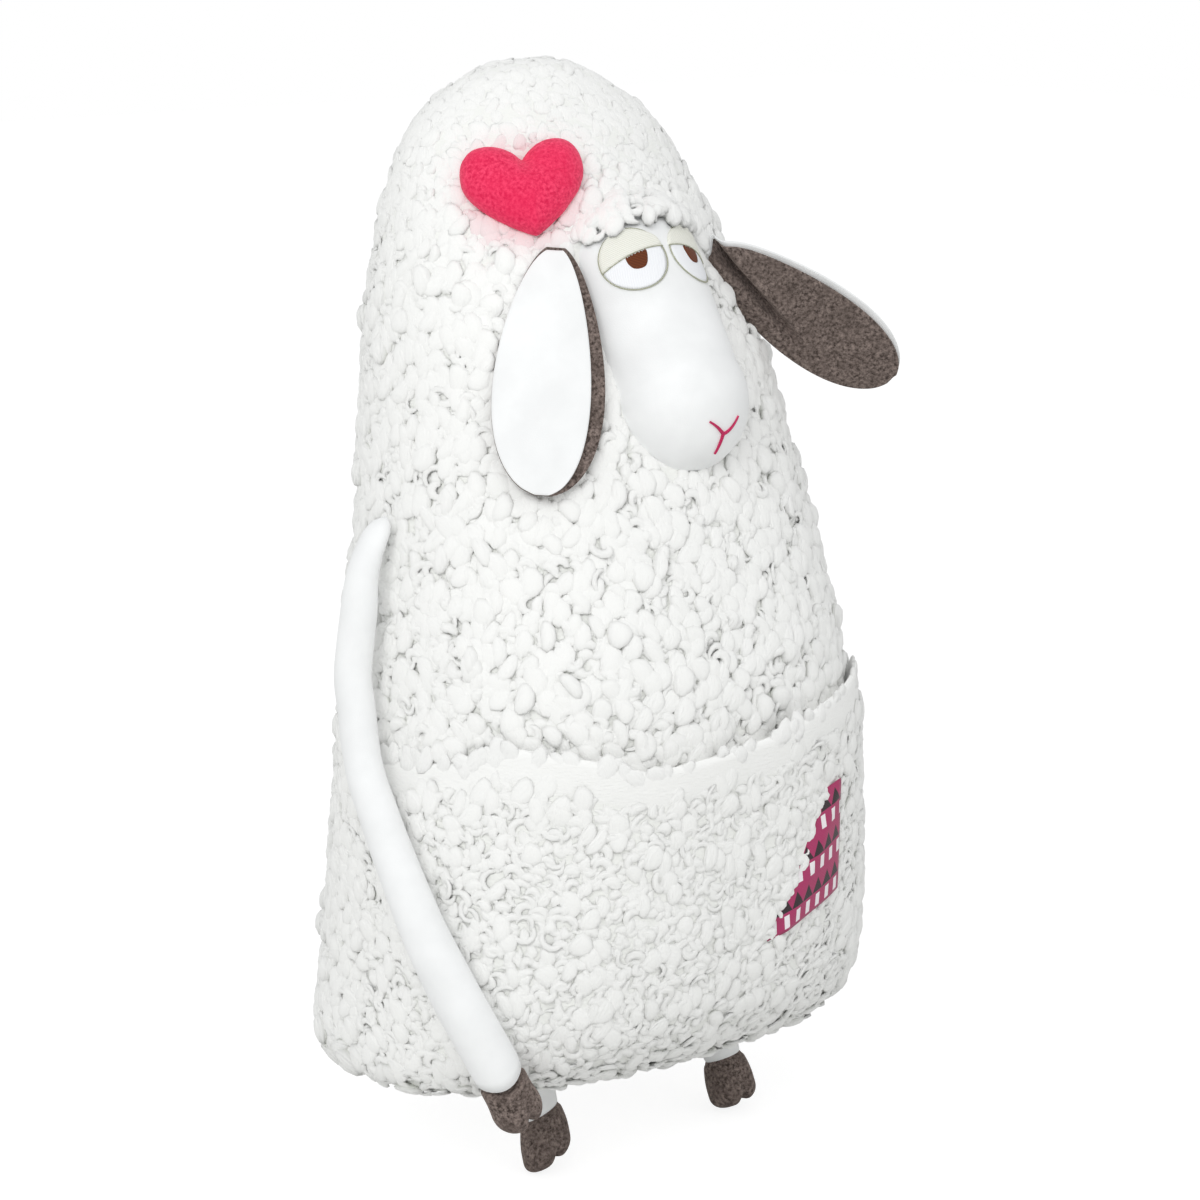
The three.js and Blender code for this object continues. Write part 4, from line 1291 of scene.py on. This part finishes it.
def smooth_once(piece):
    """Rounds a piece's facets by one level."""
    smooth = piece.modifiers.new("smooth", "SUBSURF")
    smooth.levels = smooth.render_levels = 1


heart_bm = heart_mesh()
centre, across, rise, out = facing_frame(heart_spot, heart_facing)
turned = Matrix.Rotation(heart_turn, 3, out)
across, rise = turned @ across, turned @ rise
wrap_on(heart_bm, (centre, across, rise, out), dome_search)
heart = finish_mesh("heart_cover_minky", heart_bm)
smooth_once(heart)
heart.data.materials.append(minky)
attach(heart, "torso")
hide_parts("heart_cover", "heart_filling")

# Ears
# Each is a long oval of white velour outside and grey-brown plush inside, sewn face to face and
# turned, so that one fabric rolls over the edge and shows as a band beside the seam.
ear_long = 126.0
ear_wide = 55.0
ear_overhang = 6.0
ear_thick = 3.4
pleat_long = 0.58
roll_start = 0.55
roll_reach = 0.47

# Grey-brown plush: coarser pile than the velour's, lying every way, speckled dark and light.
brown_plush = speckled_plush(
    "grey-brown plush", {"Scale": 560.0, "Detail": 3.0, "Roughness": 0.7},
    {"Scale": 90.0, "Detail": 3.0, "Distortion": 0.8}, {"From Max": 0.65, "To Max": 0.45},
    ("#3a312d", "#968780", "#564b46"), (0.7, 0.8),
    {"Roughness": 0.95, "Specular IOR Level": 0.15, "Sheen Weight": 0.3,
     "Sheen Tint": linear("#c9b8b0")})

ears = {
    "right": {
        "root": Vector((-53, -36.26, 402)), "across": Vector((0.798, -0.598, -0.079)),
        "rise": Vector((0.301, 0.280, 0.912)), "out": Vector((-0.523, -0.751, 0.403)),
        "roll": (0.24, 1), "pleated": False, "lift": 6.0, "narrow": 1.0,
    },
    "left": {
        "root": Vector((53, -36.26, 402)), "across": Vector((-0.299, 0.629, -0.717)),
        "rise": Vector((-0.758, 0.299, 0.579)), "out": Vector((0.579, 0.717, 0.388)),
        "roll": (0.09, -1), "pleated": True, "lift": 0.0, "narrow": 0.88,
    },
}


def ear_half_width(down):
    """Half the ear's width at a share of the way from root to tip, in mm."""
    return ear_wide / 2 * math.sin(math.acos(1 - 2 * clamp(down))) * (0.72 + 0.48 * down)


def ear_panel(name, ear, outer):
    """One fabric of an ear, from seam to seam: it rolls over one edge or stops short of it."""
    band, roll_side = ear["roll"]
    rolls = outer == (roll_side < 0)
    bm = bmesh.new()
    bmesh.ops.create_grid(bm, x_segments=44, y_segments=56, size=0.5)
    lifted = raise_skin(bm)
    for v in bm.verts:
        down = 0.012 + 0.985 * (0.5 - v.co.y)
        down = down - 0.004 * math.sin(2 * math.pi * down)
        across = 2 * v.co.x
        half = ear_half_width(down) * ear["narrow"]
        crown = math.sqrt(max(1 - across ** 2, 0)) * min(math.sin(math.pi * min(down, 1)) * 2.2, 1)
        height = 0.25 + ear_thick * (0.35 + 0.65 * crown) if v in lifted else 0.2
        x = across * half
        toward = across * roll_side
        if rolls and toward > roll_start:
            turn = (toward - roll_start) / (1 - roll_start)
            x = roll_side * half * (roll_start + roll_reach * math.sin(turn * math.pi / 2))
        if not rolls and toward > 0:
            x = across * half * (1 - band * toward ** 2)
            height += 0.9 * toward ** 2
        pleat = 0.0
        if ear["pleated"]:
            aside = across * half + 2 - 26 * down
            folds = 4.0 * math.exp(-(aside / 8) ** 2) - 16.0 * math.exp(-(aside / 2.3) ** 2)
            pleat = folds * max(0.0, 1 - down / pleat_long) ** 0.5
        cup = 0.0035 * x * x * (1.2 - down)
        tucked = 0 if rolls else 2.2 * (1 - down) ** 8
        y = ear_overhang + ear["lift"] - down * ear_long - tucked
        z = (height - 0.8 * pleat if outer else -height - pleat) - cup
        v.co = (ear["root"] + ear["across"] * x + ear["rise"] * y + ear["out"] * z) * mm
    bmesh.ops.recalc_face_normals(bm, faces=bm.faces)
    return finish_mesh(name, bm)


for name, ear in ears.items():
    for outer, material, slot in [
            (True, velour, "white_velour"), (False, brown_plush, "brown_plush")]:
        word = "outer" if outer else "inner"
        panel = ear_panel(f"ear_{word}_{name}_{'velour' if outer else 'plush'}", ear, outer)
        smooth_once(panel)
        panel.data.materials.append(material)
        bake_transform(panel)
        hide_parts(f"ear_{word}_{name}")

# Arms
# Each is a limp tube of white velour, loosely stuffed and pinched flat where it is sewn into the
# side seam, with a cloven hoof of brown plush sewn on at a curved seam.
# The middle lines in mm, from shoulder to wrist.
arm_paths = {
    "right": [
        (-122.4, 10.1, 281), (-132.7, 8.5, 268.3), (-139.2, 7.4, 253.5), (-141.8, 6.9, 237.3),
        (-144.7, 6.4, 221.2), (-147.3, 5.3, 205), (-148.6, 0.7, 189.4), (-151.6, -5.8, 174.6),
        (-154.2, -13.6, 160.5), (-154.8, -22.4, 146.7), (-154.8, -31, 132.7), (-154.3, -39.5, 118.7),
        (-153.8, -48.4, 104.9), (-152.7, -56.9, 91), (-150.2, -65.4, 76.8), (-146.7, -73.1, 62.3),
        (-142, -80, 47.5), (-136.3, -85.7, 32.6), (-131.8, -88.2, 22.1)],
    "left": [
        (122.4, 10.1, 281), (130.5, 10.7, 268.6), (136.9, 11.3, 255.2), (139.8, 11.9, 240.6),
        (141.8, 12.3, 225.9), (143.5, 12.7, 211.2), (145.3, 12.9, 196.4), (148.2, 12.8, 181.8),
        (151.4, 12.4, 167.3), (153.2, 12, 152.6), (154.2, 11.5, 137.8), (155.3, 10.9, 123),
        (156.4, 10.4, 108.2), (157.5, 9.8, 93.4), (158.7, 9.2, 78.6), (160, 8.8, 63.8),
        (161.5, 8.5, 49), (163.2, 8.3, 34.2), (164.1, 8.4, 23.9)],
}
arm_radius = 9.3
arm_end_radius = 11.9
arm_root_radius = 7.5
hoof_long = 25.0
hoof_drop = 5.5
toe_start = 0.55
cleft_start = 0.35
cleft_wide = 2.6
cleft_notch = 6.0
cleft_pinch = 0.42
seam_wave = 2.5
arm_rings = 76
stuffing_size = 21.0
stuffing_depth = 0.35
hoof_rings = 30
face_angles = {"right": 0.75, "left": 0.6}


def path_stations(points, count):
    """Places at equal steps along a smooth line, each with two axes across it."""
    knots = [Vector(p) for p in points]
    knots = [knots[0] * 2 - knots[1]] + knots + [knots[-1] * 2 - knots[-2]]
    fine = [
        eased(*knots[i - 1:i + 3], f)
        for i in range(1, len(knots) - 2) for f in np.linspace(0, 1, 12, endpoint=False)]
    fine = np.array(fine + [knots[-2]])
    lengths = run_lengths(fine)
    wanted = np.linspace(0, lengths[-1], count)
    spots = [Vector([np.interp(w, lengths, fine[:, k]) for k in range(3)]) for w in wanted]
    stations = []
    side = Vector((0, -1, 0))
    for i, spot in enumerate(spots):
        heading = (spots[min(i + 1, count - 1)] - spots[max(i - 1, 0)]).normalized()
        side = (side - heading * side.dot(heading)).normalized()
        stations.append((spot, side.copy(), heading.cross(side), heading))
    return stations


def seam_at(angle, face_angle):
    """How far the curved seam runs on towards the tip at an angle round the limb, in mm."""
    return seam_wave * math.cos(2 * (angle - face_angle))


def limb_noise(spot, size, amount):
    """A soft unevenness of stuffing, in mm."""
    x, y, z = spot / size
    return amount * (math.sin(x + 1.3) + math.sin(y * 1.3 + 0.4) + math.sin(z * 0.9)) / 3


def closed_root(share, part):
    """The share of its girth that a limb has where its sewn end is closed in a dome."""
    return math.sqrt(max(1 - max(1 - share / part, 0) ** 2, 0.02))


def toe_girth(share, start, bluntness):
    """The share of its girth that a hoof keeps where its toes round off."""
    return math.sqrt(max(1 - (max(share - start, 0) / (1 - start)) ** bluntness, 0.0))


def toe_cleft(across, share, wide, start):
    """How far a place of a hoof is in the cleft between its toes, from 0 to 1."""
    return math.exp(-(across / wide) ** 2) * max(0.0, (share - start) / (1 - start))


for name in ("right", "left"):
    stations = path_stations(arm_paths[name], arm_rings + 1)
    face_angle = face_angles[name]
    wrist, wrist_side, wrist_other, heading = stations[-1]

    def sleeve_place(angle, share):
        """A point of the sleeve: pinched at the shoulder and rounded at the curved seam."""
        spot, first, second, along = stations[min(round(share * arm_rings), arm_rings)]
        swell = 0.78 * math.sin(min(share / 0.2, 1) * math.pi / 2) + 0.22 * min(share / 0.5, 1)
        radius = arm_root_radius + (arm_radius - arm_root_radius) * swell
        radius += (arm_end_radius - arm_radius) * clamp((share - 0.42) / 0.4)
        radius += limb_noise(spot, stuffing_size, stuffing_depth)
        radius *= closed_root(share, 0.04)
        end = (1 - share) * arm_rings
        if end < 3:
            radius *= (0.0, 0.97, 1.0, 1.0)[round(end)]
        flat = 1 - 0.45 * (1 - min(share / 0.16, 1))
        point = spot + first * math.cos(angle) * radius + second * math.sin(angle) * radius * flat
        seam = (seam_at(angle, face_angle) + hoof_drop) * max(0.0, 1 - end / 6)
        return (point + along * seam * (1 if end > 0 else 0.5)) * mm

    sleeve = mapped_tube(f"arm_sleeve_{name}_velour", 32, arm_rings, sleeve_place)
    sleeve.data.materials.append(velour)
    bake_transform(sleeve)
    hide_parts(f"arm_upper_{name}", f"arm_lower_{name}")

    toes = (Vector((1, 0, 0)) - heading * heading.x).normalized()
    other = heading.cross(toes)

    def hoof_place(angle, share):
        """A point of the hoof: it starts at the curved seam and ends in two round toes."""
        out = wrist_side * math.cos(angle) + wrist_other * math.sin(angle)
        along = share * hoof_long
        radius = arm_end_radius + 0.5 - 0.8 * math.sin(math.pi * min(share / 0.5, 1))
        if share < 0.07:
            radius *= (0.9, 0.98)[min(round(share * hoof_rings), 1)] if share > 0 else 0.86
        radius *= toe_girth(share, toe_start, 2.4)
        across = out.dot(toes) * radius
        depth = out.dot(other) * radius * (1.0 - 0.1 * share)
        across *= 1 + 0.08 * math.sin(math.pi * min(share / 0.8, 1))
        cleft = toe_cleft(across, share, cleft_wide, cleft_start)
        depth *= 1 - cleft_pinch * cleft
        along -= cleft_notch * cleft * share
        seam = (seam_at(angle, face_angle) + hoof_drop - 1.5) * max(0.0, 1 - share / toe_start)
        base = wrist + heading * (along + seam + hoof_drop * min(share / toe_start, 1))
        return (base + toes * across + other * depth) * mm

    hoof = mapped_tube(f"arm_hoof_{name}_plush", 32, hoof_rings, hoof_place)
    smooth_once(hoof)
    hoof.data.materials.append(brown_plush)
    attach(hoof, f"forearm_{name}")
    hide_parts(f"arm_hoof_{name}")

# Legs
# Two short stuffed tubes of white velour, sewn in under the hem's front. Each ends in a cloven
# hoof of brown plush like the arms', a little thicker and sewn on at a slanting seam.
leg_radius = 9.5
leg_long = 29.0
leg_spacing = 124.0
leg_root_y = -27.0
leg_hoof_long = 28.0
leg_hoof_radius = 12.9
leg_toe_start = 0.66
leg_cleft_start = 0.3
leg_cleft_wide = 2.2
leg_cleft_notch = 5.0
leg_cleft_pinch = 0.4
leg_swings = {"right": 0.38, "left": 0.34}
leg_splays = {"right": -0.06, "left": 0.08}
seam_slants = {"right": 0.42, "left": 0.06}
ankle_swell = 1.08

for name, side in [("right", -1), ("left", 1)]:
    heading = Vector((leg_splays[name], -math.sin(leg_swings[name]), -math.cos(leg_swings[name])))
    heading.normalize()
    slant = seam_slants[name]
    hip = Vector((side * leg_spacing / 2, leg_root_y, -leg_radius - 0.4))
    ankle = hip + heading * (leg_long - leg_radius)
    toes = (Vector((1, 0, 0)) - heading * heading.x).normalized()
    other = heading.cross(toes)

    def stub_place(angle, share):
        """A point of the leg's white sleeve, from its root under the hem to its seam."""
        span = (ankle - hip).length + leg_radius
        along = share * (span + 1.5) - leg_radius * 0.9
        radius = leg_radius * (1.04 - 0.04 * share)
        radius *= closed_root(share, 0.25)
        if share > 0.9:
            radius *= math.sqrt(max(1 - ((share - 0.9) / 0.1) ** 2 * 0.4, 0.02))
        seam = slant * leg_radius * math.cos(angle) * max(0.0, 2 * share - 1)
        base = hip + heading * (along - seam)
        across = math.cos(angle) * radius * ankle_swell
        return (base + toes * across + other * math.sin(angle) * radius) * mm

    stub = mapped_tube(f"leg_stub_{name}_velour", 28, 20, stub_place)
    stub.data.materials.append(velour)
    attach(stub, f"leg_{name}")
    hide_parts(f"leg_stub_{name}")

    def leg_hoof_place(angle, share):
        """A point of the leg's hoof, which swells a little and ends in two round toes."""
        along = share * leg_hoof_long
        ankle_radius = leg_radius * ankle_swell
        swell = math.sin(min(share * 1.8, 1) * 1.57)
        radius = ankle_radius + (leg_hoof_radius - ankle_radius) * swell
        if share < 0.08:
            radius *= 0.93 if share > 0 else 0.85
        radius *= toe_girth(share, leg_toe_start, 2.8)
        across = math.cos(angle) * radius * 1.06
        depth = math.sin(angle) * radius * 0.96
        cleft = toe_cleft(across, share, leg_cleft_wide, leg_cleft_start)
        depth *= 1 - leg_cleft_pinch * cleft
        along -= leg_cleft_notch * cleft * share + slant * across
        return (ankle + heading * (along + 0.3) + toes * across + other * depth) * mm

    leg_hoof = mapped_tube(f"leg_hoof_{name}_plush", 32, 26, leg_hoof_place)
    smooth_once(leg_hoof)
    leg_hoof.data.materials.append(brown_plush)
    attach(leg_hoof, f"leg_{name}")
    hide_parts(f"leg_hoof_{name}")
